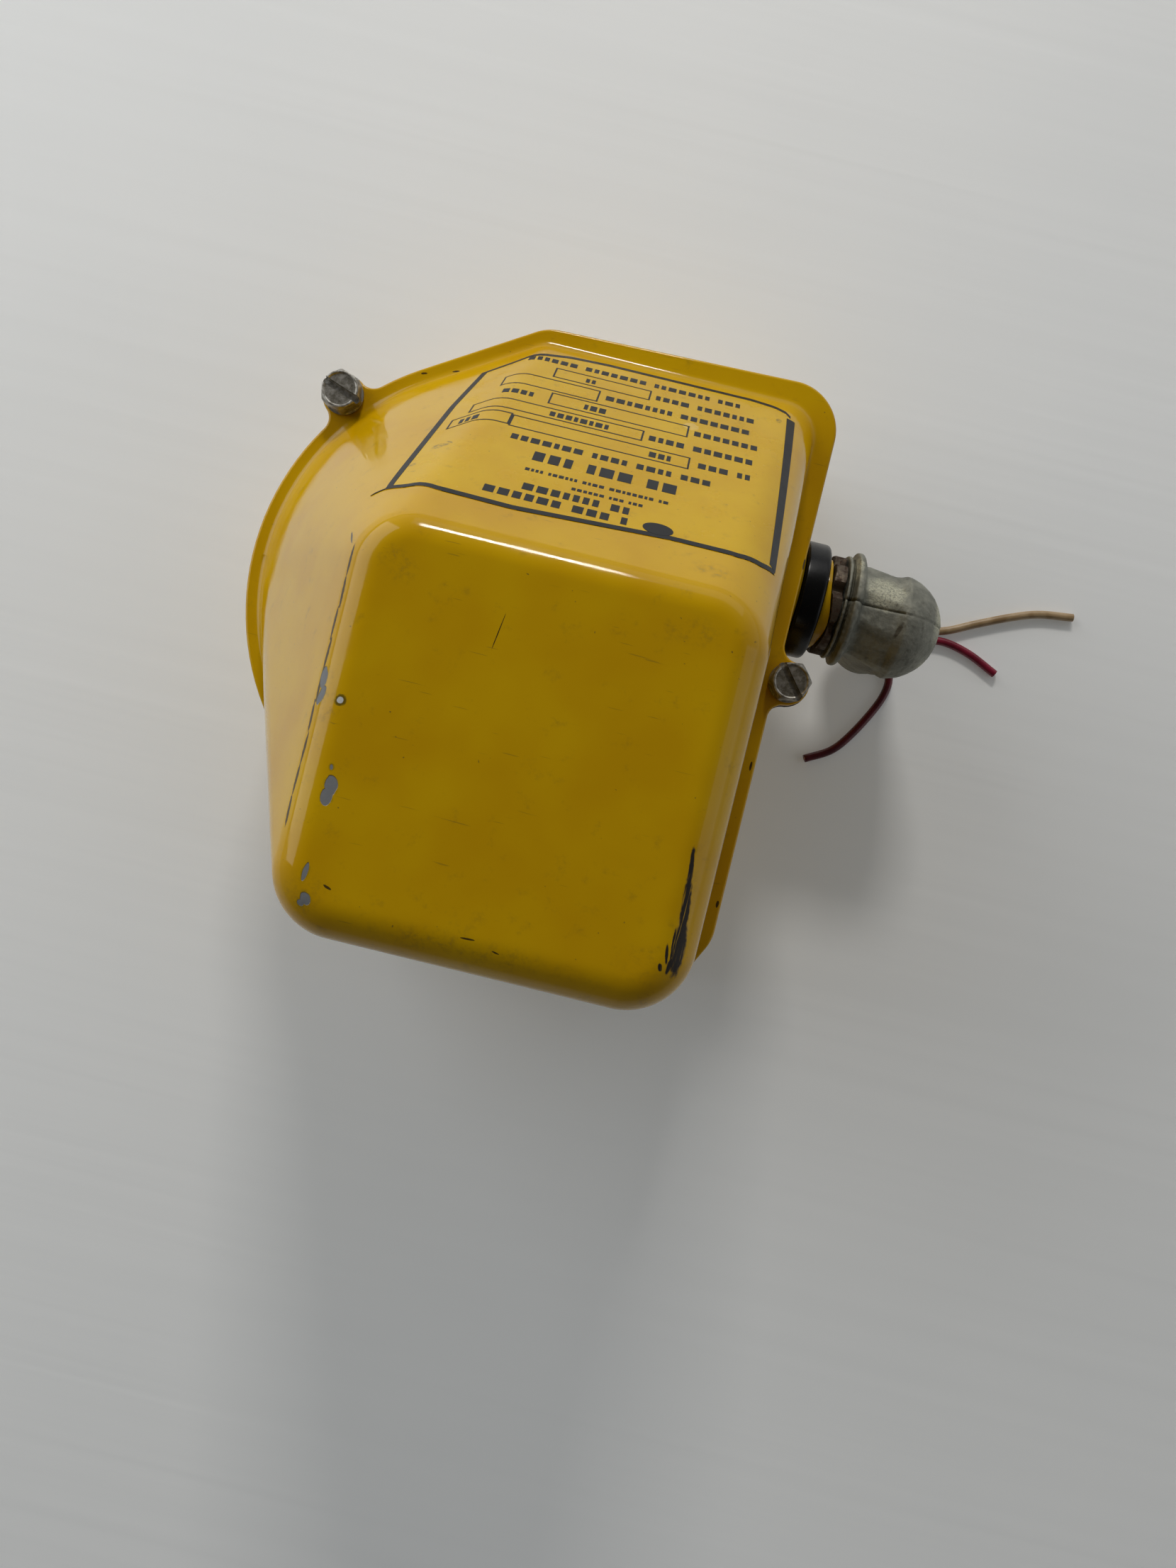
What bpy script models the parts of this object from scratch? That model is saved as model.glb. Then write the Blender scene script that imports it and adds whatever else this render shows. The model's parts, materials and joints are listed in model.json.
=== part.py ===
"""Compact electric actuator that turns a quarter-turn valve.

The frame: the origin is where the output shaft's axis meets the mounting face, +Z runs up that shaft
towards the cover, and +X points to the conduit fitting. All numbers below are millimetres and degrees,
and mesh_object turns them into metres.
"""

import math

import bmesh
import bpy
from mathutils import Matrix, Vector

MM = 0.001
GAP = 0.3  # clearance between pieces that touch on the real object
ARC_STEP = 12.0  # degrees between points on a round stretch of an outline

# Heights above the mounting face
FLOOR_TOP = 6.0
BASE_TOP = 56.0
GASKET_THICK = 1.2
RIM_THICK = 3.0
COVER_RISE = 76.0  # cover top above the rim's upper face
GASKET_BOTTOM = BASE_TOP + GAP
RIM_BOTTOM = GASKET_BOTTOM + GASKET_THICK + GAP
RIM_TOP = RIM_BOTTOM + RIM_THICK
COVER_TOP = RIM_TOP + COVER_RISE

# Outlines, each the hull of circles (x, y, radius) that run anticlockwise
RIM_CIRCLES = [
    (0, 0, 67), (-12, -81.5, 10), (56.9, -81.5, 10), (61.8, -67.2, 12), (60.8, 64.2, 13), (-2.5, 63.3, 12),
]
WALL_CIRCLES = [
    (0, 0, 63), (-12, -79.2, 8), (54.7, -79.2, 8), (58.1, -67.9, 10), (59.1, 61.9, 9), (-3.1, 62.9, 8),
]
TOP_CIRCLES = [(-11.6, -66.7, 5.5), (47.6, -66.7, 5.5), (47.6, -5.5, 5.5), (-11.6, -5.5, 5.5)]
COVER_FILLET = 9.0  # radius between the cover's top and its sides
COVER_WALL = 2.5
FILLET_STEPS = 4

# Screw ears, each a round boss that stands out of the rim between two hollow fillets
EAR_RADIUS = 5.8
EAR_FILLET = 4.0
EAR_1 = (-53.3, 45.1)
EAR_2 = (76.8, 0.0)
EAR_3 = (-32.7, -74.7)
EARS = (EAR_1, EAR_2, EAR_3)

# Nameplate: (direction, start, end) down the slope as shares of its length, and how far the plate's left
# end reaches across the flat stretch beyond the last direction
LABEL_EDGES = ((56, 0.18, 0.58), (67.5, 0.14, 0.85), (79, 0.12, 0.94), (90, 0.1, 0.95), (122.1, 0.15, 0.9))
LABEL_REACH = 0.45
LABEL_THICK = 0.4

# Base housing
BASE_INSET = 1.0
BASE_WALL = 3.8
MOUNT_PCD = 50.0
MOUNT_HOLE = 5.2
MOUNT_HOLE_DEPTH = 9.0
MOUNT_BOSS = 12.0
MOUNT_BOSS_TOP = 10.0
DRIVE_POCKET = 40.0  # round space for a coupling on the shaft's drive end
DRIVE_POCKET_DEPTH = 6.0
BEARING_BOSS = 48.0
BEARING_BOSS_TOP = 13.4

# Cover screws, quarter-inch hex heads with a slot
SCREW_DIAMETER = 6.35
SCREW_BORE = SCREW_DIAMETER + 2 * GAP
SCREW_HEAD_ACROSS = 9.53
SCREW_HEAD_HEIGHT = 5.6
SCREW_WASHER = 10.4
SCREW_WASHER_THICK = 1.0
SCREW_SLOT = 1.7
SCREW_SLOT_DEPTH = 1.9
SCREW_LENGTH = 16.0
SCREW_TURNS = (-19.0, -51.0, 5.0)  # where each slot points

# Output shaft and its bushes
SHAFT_JOURNAL = 20.0
SHAFT_JOURNAL_TOP = 14.2
SHAFT_MAIN = 16.0
SHAFT_MAIN_TOP = 27.0
SHAFT_UPPER = 12.0
SHAFT_TOP = 78.0
DRIVE_FLATS = 14.0
DRIVE_LENGTH = 5.6
BUSH_WALL = 3.2

# Gear train: the rotor's pinion drives cluster 1, that drives cluster 2, and that drives the output gear
PRESSURE_ANGLE = math.radians(20)
BACKLASH = 0.36
ADDENDUM = 0.8
DEDENDUM = 1.15
OUTPUT_TEETH, OUTPUT_MODULE = 56, 1.25
CLUSTER_2_PINION, CLUSTER_2_GEAR = 14, 36
CLUSTER_1_PINION, CLUSTER_1_GEAR = 15, 40
ROTOR_PINION = 16
FINE_MODULE = 1.0
OUTPUT_GEAR_Z = (15.0, 23.0)
CLUSTER_2_PINION_Z = (14.5, 27.5)
CLUSTER_2_GEAR_Z = (27.0, 32.0)
CLUSTER_1_PINION_Z = (26.5, 36.5)
CLUSTER_1_GEAR_Z = (36.0, 40.0)
ROTOR_PINION_Z = (35.0, 41.5)
ARBOR = 4.0
CLUSTER_2_DIRECTION = -20.0  # from the output shaft to cluster 2
CLUSTER_1_DIRECTION = -83.5  # from cluster 2 to cluster 1
ROTOR_DIRECTION = -175.5  # from cluster 1 to the rotor

# Gear plate and what holds it
PLATE_Z = (44.0, 47.0)
PLATE_INSET = 8.0
STANDOFFS = ((-46.0, -14.0), (-12.0, 50.0), (48.0, 54.0), (22.0, -77.0))
STANDOFF_ACROSS = 9.0
PLATE_SCREW = 4.0
PLATE_SCREW_HEAD = 7.0

# Motor, upright on the gear plate
MOTOR_OUTER = 56.0
MOTOR_INNER = 50.0
MOTOR_HEIGHT = 48.0
STATOR_INNER = 24.0
ROTOR_DIAMETER = 20.0
ROTOR_SHAFT = 6.0

# Run capacitor, lying along X behind the shaft
CAPACITOR = 20.0
CAPACITOR_LENGTH = 46.0
CAPACITOR_CENTRE = (12.0, 39.0, 58.5)

# Cams and limit switches
CAM_RADIUS = 12.0
CAM_LOBE = 14.5
CAM_THICK = 6.0
CAM_BOTTOMS = (50.5, 60.5)
CAM_LOBE_DIRECTIONS = (188.0, 24.0)
SWITCH_SIZE = (10.0, 20.0, 6.4)
SWITCH_PIN_SIDES = (-6.8, 6.8)  # across the switch, where its two pins pass
SWITCH_FACE = -24.0
LEVER_PIVOT = (-22.4, -9.0)
LEVER_SHAPE = (  # the bent strip, measured from its pivot
    (-0.4, -0.6), (0.5, -0.6), (0.5, 2.0), (6.7, 13.4), (10.8, 15.0), (11.0, 16.0), (10.2, 16.6), (5.9, 15.8),
    (-0.4, 2.4),
)

# Conduit fitting on the +X side
CONDUIT_Y = 26.1
CONDUIT_Z = 39.8
HUB_START = 70.5
HUB_FACE = 75.0
CONDUIT_BORE = 21.4
SEAL_X = (75.3, 81.9)
SEAL_OUTER = 32.0
WASHER_X = (82.2, 83.2)
WASHER_OUTER = 25.0
LOCKNUT_X = (83.5, 86.9)
LOCKNUT_OUTER = 27.5
NIPPLE = 20.6
NIPPLE_START = 62.0
SHOULDER_X = (87.2, 91.4)
SHOULDER_OUTER = 31.9
NECK = 26.4
DOME = 29.4
DOME_X = 101.8
OUTLET_Z = 10.0
OUTLET_STUB = 21.3
OUTLET_STUB_LENGTH = 12.0
PASSAGE = 16.0

# Lead wires, from inside the outlet to their cut ends, each a smooth curve through its points
LEAD = 2.5
LEAD_STEP = 6.0
LEAD_ROUTES = {
    "lead_beige": [
        (103.5, 30.0, 17.0), (103.6, 30.1, 12.5), (104.6, 30.5, 8.0), (108.2, 31.3, 3.9), (114.5, 32.3, 1.8),
        (121.5, 33.2, 1.3), (129.1, 34.8, 1.3), (138.1, 39.2, 1.3), (148.1, 43.8, 1.3), (156.3, 46.7, 1.3),
        (166.7, 48.2, 1.3),
    ],
    "lead_red": [
        (106.0, 25.6, 17.0), (106.1, 25.6, 12.5), (107.0, 25.9, 8.0), (110.2, 26.9, 3.9), (116.0, 28.6, 1.8),
        (122.5, 30.2, 1.3), (129.5, 31.3, 1.3), (138.0, 29.5, 1.3), (147.2, 25.4, 1.3),
    ],
    "lead_dark_red": [
        (101.0, 22.6, 17.0), (101.4, 22.4, 12.5), (103.0, 21.9, 8.0), (106.8, 21.3, 3.9), (111.8, 20.0, 1.8),
        (115.4, 16.8, 1.3), (115.5, 11.8, 1.3), (113.3, 5.6, 1.3), (108.3, -3.6, 1.3), (103.4, -9.8, 1.3),
        (95.9, -14.3, 1.3),
    ],
}

YELLOW = (0.86, 0.52, 0.02)
ZINC = (0.42, 0.42, 0.39)
STEEL = (0.55, 0.54, 0.52)
BRASS = (0.72, 0.55, 0.25)
BLACK = (0.02, 0.02, 0.02)
FINISHES = {
    "yellow_paint": (YELLOW, 0.3, 0.0),
    "label": (YELLOW, 0.35, 0.0),
    "zinc": (ZINC, 0.55, 0.9),
    "steel": (STEEL, 0.35, 1.0),
    "rusty_steel": ((0.22, 0.14, 0.08), 0.75, 0.6),
    "brass": (BRASS, 0.35, 1.0),
    "bronze": ((0.5, 0.3, 0.12), 0.45, 1.0),
    "black_rubber": (BLACK, 0.25, 0.0),
    "gasket": ((0.05, 0.045, 0.04), 0.8, 0.0),
    "black_plastic": ((0.03, 0.03, 0.03), 0.5, 0.0),
    "grey_plastic": ((0.3, 0.3, 0.3), 0.5, 0.0),
    "white_plastic": ((0.75, 0.73, 0.68), 0.5, 0.0),
    "capacitor_can": ((0.5, 0.5, 0.52), 0.4, 0.8),
    "beige_wire": ((0.55, 0.38, 0.2), 0.5, 0.0),
    "red_wire": ((0.42, 0.02, 0.04), 0.4, 0.0),
    "dark_red_wire": ((0.24, 0.01, 0.02), 0.4, 0.0),
}


def clear_scene():
    for obj in list(bpy.data.objects):
        bpy.data.objects.remove(obj, do_unlink=True)


def finish_material(name):
    """The named finish as a Principled material, made once."""
    material = bpy.data.materials.get(name)
    if material is None:
        colour, roughness, metallic = FINISHES[name]
        material = bpy.data.materials.new(name)
        material.use_nodes = True
        shader = material.node_tree.nodes["Principled BSDF"]
        shader.inputs["Base Color"].default_value = (*colour, 1)
        shader.inputs["Roughness"].default_value = roughness
        shader.inputs["Metallic"].default_value = metallic
    return material


def mesh_object(name, vertices, faces, finish, pivot=(0, 0, 0)):
    """An object from points in millimetres, with its origin at the pivot."""
    mesh = bpy.data.meshes.new(name)
    origin = Vector(pivot)
    mesh.from_pydata([(Vector(v) - origin) * MM for v in vertices], [], faces)
    tidy = bmesh.new()
    tidy.from_mesh(mesh)
    bmesh.ops.remove_doubles(tidy, verts=tidy.verts, dist=0.002 * MM)
    bmesh.ops.recalc_face_normals(tidy, faces=tidy.faces)
    tidy.to_mesh(mesh)
    tidy.free()
    obj = bpy.data.objects.new(name, mesh)
    obj.location = origin * MM
    bpy.context.scene.collection.objects.link(obj)
    mesh.shade_smooth()
    mesh.set_sharp_from_angle(angle=math.radians(32))
    mesh.materials.append(finish_material(finish))
    return obj


def turned_matrix(axis):
    """Turns a shape made along Z so that it lies along the axis 'X', 'Y' or 'Z'."""
    return {"X": Matrix.Rotation(math.pi / 2, 3, "Y"), "Y": Matrix.Rotation(-math.pi / 2, 3, "X"),
            "Z": Matrix.Identity(3)}[axis]


def prism(name, points, low, high, finish, pivot=(0, 0, 0), axis="Z"):
    """An outline in XY, extruded from low to high; with the axis "X", an outline in YZ, extruded along X."""
    count = len(points)
    vertices = [(x, y, low) for x, y in points] + [(x, y, high) for x, y in points]
    if axis == "X":
        vertices = [(z, x, y) for x, y, z in vertices]
    faces = [list(range(count))[::-1], list(range(count, 2 * count))]
    faces += [[i, (i + 1) % count, count + (i + 1) % count, count + i] for i in range(count)]
    return mesh_object(name, vertices, faces, finish, pivot)


def ring_prism(name, outer, inner, low, high, finish, pivot=(0, 0, 0)):
    """A prism with a hole: both outlines have the same number of points."""
    count = len(outer)
    vertices = []
    for height in (low, high):
        vertices += [(x, y, height) for x, y in outer]
        vertices += [(x, y, height) for x, y in inner]
    faces = []
    for i in range(count):
        j = (i + 1) % count
        faces.append([i, j, 2 * count + j, 2 * count + i])
        faces.append([count + j, count + i, 3 * count + i, 3 * count + j])
        faces.append([j, i, count + i, count + j])
        faces.append([2 * count + i, 2 * count + j, 3 * count + j, 3 * count + i])
    return mesh_object(name, vertices, faces, finish, pivot)


def lathe(name, profile, centre, finish, axis="Z", sides=16, pivot=(0, 0, 0)):
    """A closed profile of (radius, height) points, turned about the axis through the centre."""
    matrix = turned_matrix(axis)
    rings = len(profile)
    vertices = []
    for i in range(sides):
        angle = 2 * math.pi * i / sides
        for radius, height in profile:
            point = matrix @ Vector((radius * math.cos(angle), radius * math.sin(angle), height))
            vertices.append(point + Vector(centre))
    faces = []
    for i in range(sides):
        a, b = i * rings, (i + 1) % sides * rings
        for j in range(rings):
            k = (j + 1) % rings
            if profile[j][0] > 0 or profile[k][0] > 0:
                faces.append([a + j, b + j, b + k, a + k])
    return mesh_object(name, vertices, faces, finish, pivot)


def cylinder(name, diameter, low, high, centre, finish, axis="Z", sides=16, pivot=(0, 0, 0)):
    radius = diameter / 2
    profile = [(0, low), (radius, low), (radius, high), (0, high)]
    return lathe(name, profile, centre, finish, axis, sides, pivot)


def tube(name, outer, inner, low, high, centre, finish, axis="Z", sides=16, pivot=(0, 0, 0)):
    profile = [(inner / 2, low), (outer / 2, low), (outer / 2, high), (inner / 2, high)]
    return lathe(name, profile, centre, finish, axis, sides, pivot)


def block(name, low, high, finish, pivot=(0, 0, 0)):
    """A box between two corners."""
    outline = [(low[0], low[1]), (high[0], low[1]), (high[0], high[1]), (low[0], high[1])]
    return prism(name, outline, low[2], high[2], finish, pivot)


def combine(obj, other, operation):
    """Adds a Boolean modifier to obj, and hides the other shape as its helper."""
    modifier = obj.modifiers.new(f"{operation.lower()}_{other.name}", "BOOLEAN")
    modifier.operation = operation
    modifier.solver = "EXACT"
    modifier.object = other
    other.hide_render = True
    other.display_type = "WIRE"


def join(obj, *others):
    for other in others:
        combine(obj, other, "UNION")


def cut(obj, *others):
    for other in others:
        combine(obj, other, "DIFFERENCE")


def regular(count, across_flats, centre, turn=0.0):
    """A regular polygon given by the distance across its flats."""
    radius = across_flats / 2 / math.cos(math.pi / count)
    angles = [math.radians(turn) + math.pi * (2 * i + 1) / count for i in range(count)]
    return [(centre[0] + radius * math.cos(a), centre[1] + radius * math.sin(a)) for a in angles]


def spans(circles):
    """Each circle of a hull with the outward directions (start, end) over which the hull follows it."""
    def tangent(a, b):
        run = math.atan2(b[1] - a[1], b[0] - a[0])
        return run - math.acos((a[2] - b[2]) / math.hypot(b[0] - a[0], b[1] - a[1]))

    found = []
    for i, circle in enumerate(circles):
        start = tangent(circles[i - 1], circle)
        end = tangent(circle, circles[(i + 1) % len(circles)])
        while end < start:
            end += 2 * math.pi
        while end - start > 2 * math.pi:
            end -= 2 * math.pi
        found.append((start, end, circle))
    return found


def arc(centre, radius, start, end, step=ARC_STEP):
    """Points of an arc from the start angle to the end angle, both included."""
    count = max(1, math.ceil(abs(math.degrees(end - start)) / step))
    angles = [start + (end - start) * i / count for i in range(count + 1)]
    return [(centre[0] + radius * math.cos(a), centre[1] + radius * math.sin(a)) for a in angles]


def outline(circles, offset=0.0):
    """The hull of the circles, grown by the offset."""
    points = []
    for start, end, (x, y, radius) in spans(circles):
        points += arc((x, y), radius + offset, start, end)
    return points


def unwrapped(angle, near):
    """The angle, moved by whole turns to lie next to another one."""
    return near + (angle - near + math.pi) % (2 * math.pi) - math.pi


def ear_bump(ear, offset):
    """The outline round one ear, with a hollow fillet on each side, running anticlockwise."""
    radius, fillet = EAR_RADIUS + offset, EAR_FILLET - offset
    if ear == EAR_1:
        outward = math.atan2(ear[1], ear[0])
        reach = RIM_CIRCLES[0][2] + offset + fillet
        distance = math.hypot(*ear)
        swing = math.acos((reach**2 + distance**2 - (radius + fillet) ** 2) / (2 * reach * distance))
        turns = (outward - swing, outward + swing)
        centres = [(reach * math.cos(turn), reach * math.sin(turn)) for turn in turns]
        edges = [outward - swing + math.pi, outward + swing + math.pi]
    else:
        normal = 0.0 if ear == EAR_2 else spans(RIM_CIRCLES)[0][1]
        nx, ny = math.cos(normal), math.sin(normal)
        line = (RIM_CIRCLES[4][0] + RIM_CIRCLES[4][2] if ear == EAR_2 else RIM_CIRCLES[0][2]) + offset
        rise = line + fillet - (ear[0] * nx + ear[1] * ny)
        slide = math.sqrt((radius + fillet) ** 2 - rise**2)
        shifts = (-slide, slide)
        centres = [(ear[0] + rise * nx - side * ny, ear[1] + rise * ny + side * nx) for side in shifts]
        edges = [normal + math.pi, normal + math.pi]
    points = []
    to_ear = [math.atan2(ear[1] - c[1], ear[0] - c[0]) for c in centres]
    points += arc(centres[0], fillet, edges[0], unwrapped(to_ear[0], edges[0]), 18)
    first = to_ear[0] + math.pi
    last = to_ear[1] + math.pi
    while last < first:
        last += 2 * math.pi
    while last > first + 2 * math.pi:
        last -= 2 * math.pi
    points += arc(ear, radius, first, last, 15)
    points += arc(centres[1], fillet, to_ear[1], unwrapped(edges[1], to_ear[1]), 18)
    return points


def nearest_edge(points, place):
    """The index of the outline's edge that passes closest to a place."""
    best = None
    for i, point in enumerate(points):
        a, b = Vector(point), Vector(points[(i + 1) % len(points)])
        if (b - a).length > 1e-6:
            share = max(0.0, min(1.0, (place - a).dot(b - a) / (b - a).length_squared))
            miss = (a.lerp(b, share) - place).length
            if best is None or miss < best[0]:
                best = (miss, i)
    return best[1]


def eared_outline(offset=0.0):
    """The rim's outline with its three ears."""
    points = outline(RIM_CIRCLES, offset)
    for ear in EARS:
        bump = ear_bump(ear, offset)
        before, after = (nearest_edge(points, Vector(end)) for end in (bump[0], bump[-1]))
        if after >= before:
            points = points[:before + 1] + bump + points[after + 1:]
        else:
            points = points[after + 1:before + 1] + bump
    kept = []
    for point in points:
        if not kept or math.dist(point, kept[-1]) > 0.02:
            kept.append(point)
    return kept


def hull_entries(step=ARC_STEP):
    """(direction, point on the top's outline, point on the wall's outline) round the cover.

    The cover's side is the surface that a ruler makes when it rolls round both outlines.
    """
    ends = sorted({round(angle % (2 * math.pi), 9) for circles in (TOP_CIRCLES, WALL_CIRCLES)
                   for span in spans(circles) for angle in span[:2]})
    ends.append(ends[0] + 2 * math.pi)

    def circle_at(circles, angle):
        for start, end, circle in spans(circles):
            if (angle - start) % (2 * math.pi) < end - start:
                return circle
        return circles[0]

    entries = []
    for start, end in zip(ends, ends[1:]):
        if end - start < 1e-6:
            continue
        middle = (start + end) / 2
        top, wall = circle_at(TOP_CIRCLES, middle), circle_at(WALL_CIRCLES, middle)
        count = max(1, math.ceil(math.degrees(end - start) / step))
        entries += [(start + (end - start) * i / count, top, wall) for i in range(count + 1)]
    return entries


def cover_profile(entry, inset, base_height):
    """One section of the cover's surface, from its flat top down to the wall's foot."""
    angle, top, wall = entry
    radial = Vector((math.cos(angle), math.sin(angle), 0))
    fillet = COVER_FILLET - inset
    centre_height = COVER_TOP - COVER_FILLET
    centre = Vector((top[0], top[1], centre_height)) + radial * top[2]
    foot = Vector((wall[0], wall[1], base_height)) + radial * (wall[2] - inset)
    spread = (foot - centre).dot(radial)
    fall = centre_height - base_height
    lean = math.acos(fillet / math.hypot(spread, fall)) - math.atan2(fall, spread)
    points = []
    for i in range(FILLET_STEPS + 1):
        rise = math.pi / 2 + (lean - math.pi / 2) * i / FILLET_STEPS
        points.append(centre + fillet * (radial * math.cos(rise) + Vector((0, 0, math.sin(rise)))))
    return points + [foot]


def cover_shell():
    """The drawn cover with its rim and ears."""
    entries = hull_entries()
    count = len(entries)
    sections = []
    for entry in entries:
        section = cover_profile(entry, 0.0, RIM_TOP)
        outer_foot = section[-1].copy()
        outer_foot.z = RIM_BOTTOM
        inner = cover_profile(entry, COVER_WALL, RIM_BOTTOM)
        sections.append(section + [outer_foot] + inner[::-1])
    length = len(sections[0])
    vertices = [point for section in sections for point in section]
    faces = []
    for i in range(count):
        a, b = i * length, (i + 1) % count * length
        faces += [[a + j, a + j + 1, b + j + 1, b + j] for j in range(length - 1)]
    faces.append([i * length for i in range(count)])
    faces.append([i * length + length - 1 for i in range(count)][::-1])
    cover = mesh_object("cover_shell", vertices, faces, "yellow_paint")
    rim = prism("rim_plate", eared_outline(), RIM_BOTTOM, RIM_TOP, "yellow_paint")
    opening = prism("rim_opening", outline(WALL_CIRCLES, -1.2), RIM_BOTTOM - 2, RIM_TOP + 2, "yellow_paint")
    cut(rim, opening)
    join(cover, rim)
    for i, ear in enumerate(EARS, 1):
        hole = cylinder(f"rim_hole_{i}", SCREW_BORE, RIM_BOTTOM - 2, RIM_TOP + 2, (*ear, 0), "steel")
        cut(cover, hole)


def cover_gasket():
    gasket = prism("cover_gasket", eared_outline(0.35), GASKET_BOTTOM, GASKET_BOTTOM + GASKET_THICK, "gasket")
    opening = prism("gasket_opening", outline(RIM_CIRCLES, -7.5), GASKET_BOTTOM - 2, RIM_TOP, "gasket")
    cut(gasket, opening)
    for i, ear in enumerate(EARS, 1):
        hole = cylinder(f"gasket_hole_{i}", SCREW_BORE, GASKET_BOTTOM - 2, RIM_TOP, (*ear, 0), "steel")
        cut(gasket, hole)


def base_housing():
    """The cast base: floor, wall, three screw pillars, bearing boss, tapped bosses and the conduit hub."""
    base = prism("base_housing", eared_outline(-BASE_INSET), 0, BASE_TOP, "yellow_paint")
    inside = outline(RIM_CIRCLES, -BASE_INSET - BASE_WALL)
    cut(base, prism("base_cavity", inside, FLOOR_TOP, BASE_TOP + 4, "yellow_paint"))
    boss = cylinder("bearing_boss", BEARING_BOSS, 2, BEARING_BOSS_TOP, (0, 0, 0), "yellow_paint", sides=28)
    conduit = (0, CONDUIT_Y, CONDUIT_Z)
    hub = cylinder("conduit_hub", SEAL_OUTER - 1, HUB_START, HUB_FACE, conduit, "yellow_paint", "X", 24)
    join(base, boss, hub)
    bearing = SHAFT_JOURNAL + 2 * BUSH_WALL + 4 * GAP
    cut(base, cylinder("bearing_bore", bearing, -2, BEARING_BOSS_TOP + 4, (0, 0, 0), "steel", sides=28))
    cut(base, cylinder("drive_pocket", DRIVE_POCKET, -2, DRIVE_POCKET_DEPTH, (0, 0, 0), "steel", sides=28))
    cut(base, cylinder("conduit_bore", CONDUIT_BORE, 60, 80, conduit, "steel", "X", 16))
    for i in range(4):
        angle = math.radians(45 + 90 * i)
        centre = (MOUNT_PCD / 2 * math.cos(angle), MOUNT_PCD / 2 * math.sin(angle), 0)
        pad = cylinder(f"mount_boss_{i + 1}", MOUNT_BOSS, 3, MOUNT_BOSS_TOP, centre, "yellow_paint", sides=14)
        join(base, pad)
        hole = cylinder(f"mount_hole_{i + 1}", MOUNT_HOLE, -2, MOUNT_HOLE_DEPTH, centre, "steel", sides=10)
        cut(base, hole)
    deep = BASE_TOP - SCREW_LENGTH
    for i, ear in enumerate(EARS, 1):
        hole = cylinder(f"tapped_hole_{i}", SCREW_BORE, deep, BASE_TOP + 4, (*ear, 0), "steel", sides=14)
        cut(base, hole)


def cover_screws():
    """Slotted hex-head screws with a washer face."""
    for i, (ear, turn) in enumerate(zip(EARS, SCREW_TURNS), 1):
        under = RIM_TOP + GAP
        top = under + SCREW_HEAD_HEIGHT
        at = (*ear, 0)
        screw = prism(f"cover_screw_{i}", regular(6, SCREW_HEAD_ACROSS, ear, turn), under + 0.6, top, "steel")
        washer = cylinder(f"washer_face_{i}", SCREW_WASHER, under, under + SCREW_WASHER_THICK, at, "steel")
        tip = BASE_TOP - SCREW_LENGTH + 1
        shank = cylinder(f"shank_{i}", SCREW_DIAMETER, tip, under + 1, at, "steel", sides=14)
        join(screw, washer, shank)
        angle = math.radians(turn)
        along = Vector((math.cos(angle), math.sin(angle)))
        across = Vector((-along.y, along.x))
        corners = []
        for s, t in ((-1, -1), (1, -1), (1, 1), (-1, 1)):
            corners.append(Vector(ear) + along * s * 8 + across * t * SCREW_SLOT / 2)
        cut(screw, prism(f"slot_{i}", [tuple(c) for c in corners], top - SCREW_SLOT_DEPTH, top + 2, "steel"))


def surface_point(entry, share, lift):
    """A point on the cover's sloping side, at a share of the way down its ruling, lifted off the surface."""
    section = cover_profile(entry, 0.0, RIM_TOP)
    start, foot = section[-2], section[-1]
    angle = entry[0]
    radial = Vector((math.cos(angle), math.sin(angle), 0))
    centre = Vector((entry[1][0], entry[1][1], COVER_TOP - COVER_FILLET)) + radial * entry[1][2]
    normal = (start - centre).normalized()
    return start.lerp(foot, share) + normal * lift


def label_shares(angle):
    """Where the nameplate starts and ends down the slope, at this direction."""
    for (a, low_a, high_a), (b, low_b, high_b) in zip(LABEL_EDGES, LABEL_EDGES[1:]):
        if angle <= b:
            t = max(0.0, (angle - a) / (b - a))
            return low_a + (low_b - low_a) * t, high_a + (high_b - high_a) * t
    return LABEL_EDGES[-1][1:]


def nameplate():
    """The thin plate on the sloping side, wrapped round the bend at each end."""
    first, last = LABEL_EDGES[0][0], LABEL_EDGES[-1][0]
    degrees = [(math.degrees(entry[0]) % 360, entry) for entry in hull_entries()]
    entries = [(angle, entry) for angle, entry in degrees if first - 1 <= angle <= last + 0.2]
    levels = (GAP, GAP + LABEL_THICK)

    def row(entry, low, high):
        return [surface_point(entry, share, lift) for share, lift in
                ((low, levels[0]), (high, levels[0]), (high, levels[1]), (low, levels[1]))]

    rows = [row(entry, *label_shares(angle)) for angle, entry in entries[:-1]]
    near, far = rows[-1], row(entries[-1][1], *label_shares(last))
    rows.append([a.lerp(b, LABEL_REACH) for a, b in zip(near, far)])
    vertices = [point for line in rows for point in line]
    faces = [[0, 1, 2, 3], [len(vertices) - 1 - i for i in range(4)]]
    for i in range(len(rows) - 1):
        a, b = 4 * i, 4 * i + 4
        faces += [[a + j, a + (j + 1) % 4, b + (j + 1) % 4, b + j] for j in range(4)]
    mesh_object("nameplate", vertices, faces, "label")


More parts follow.
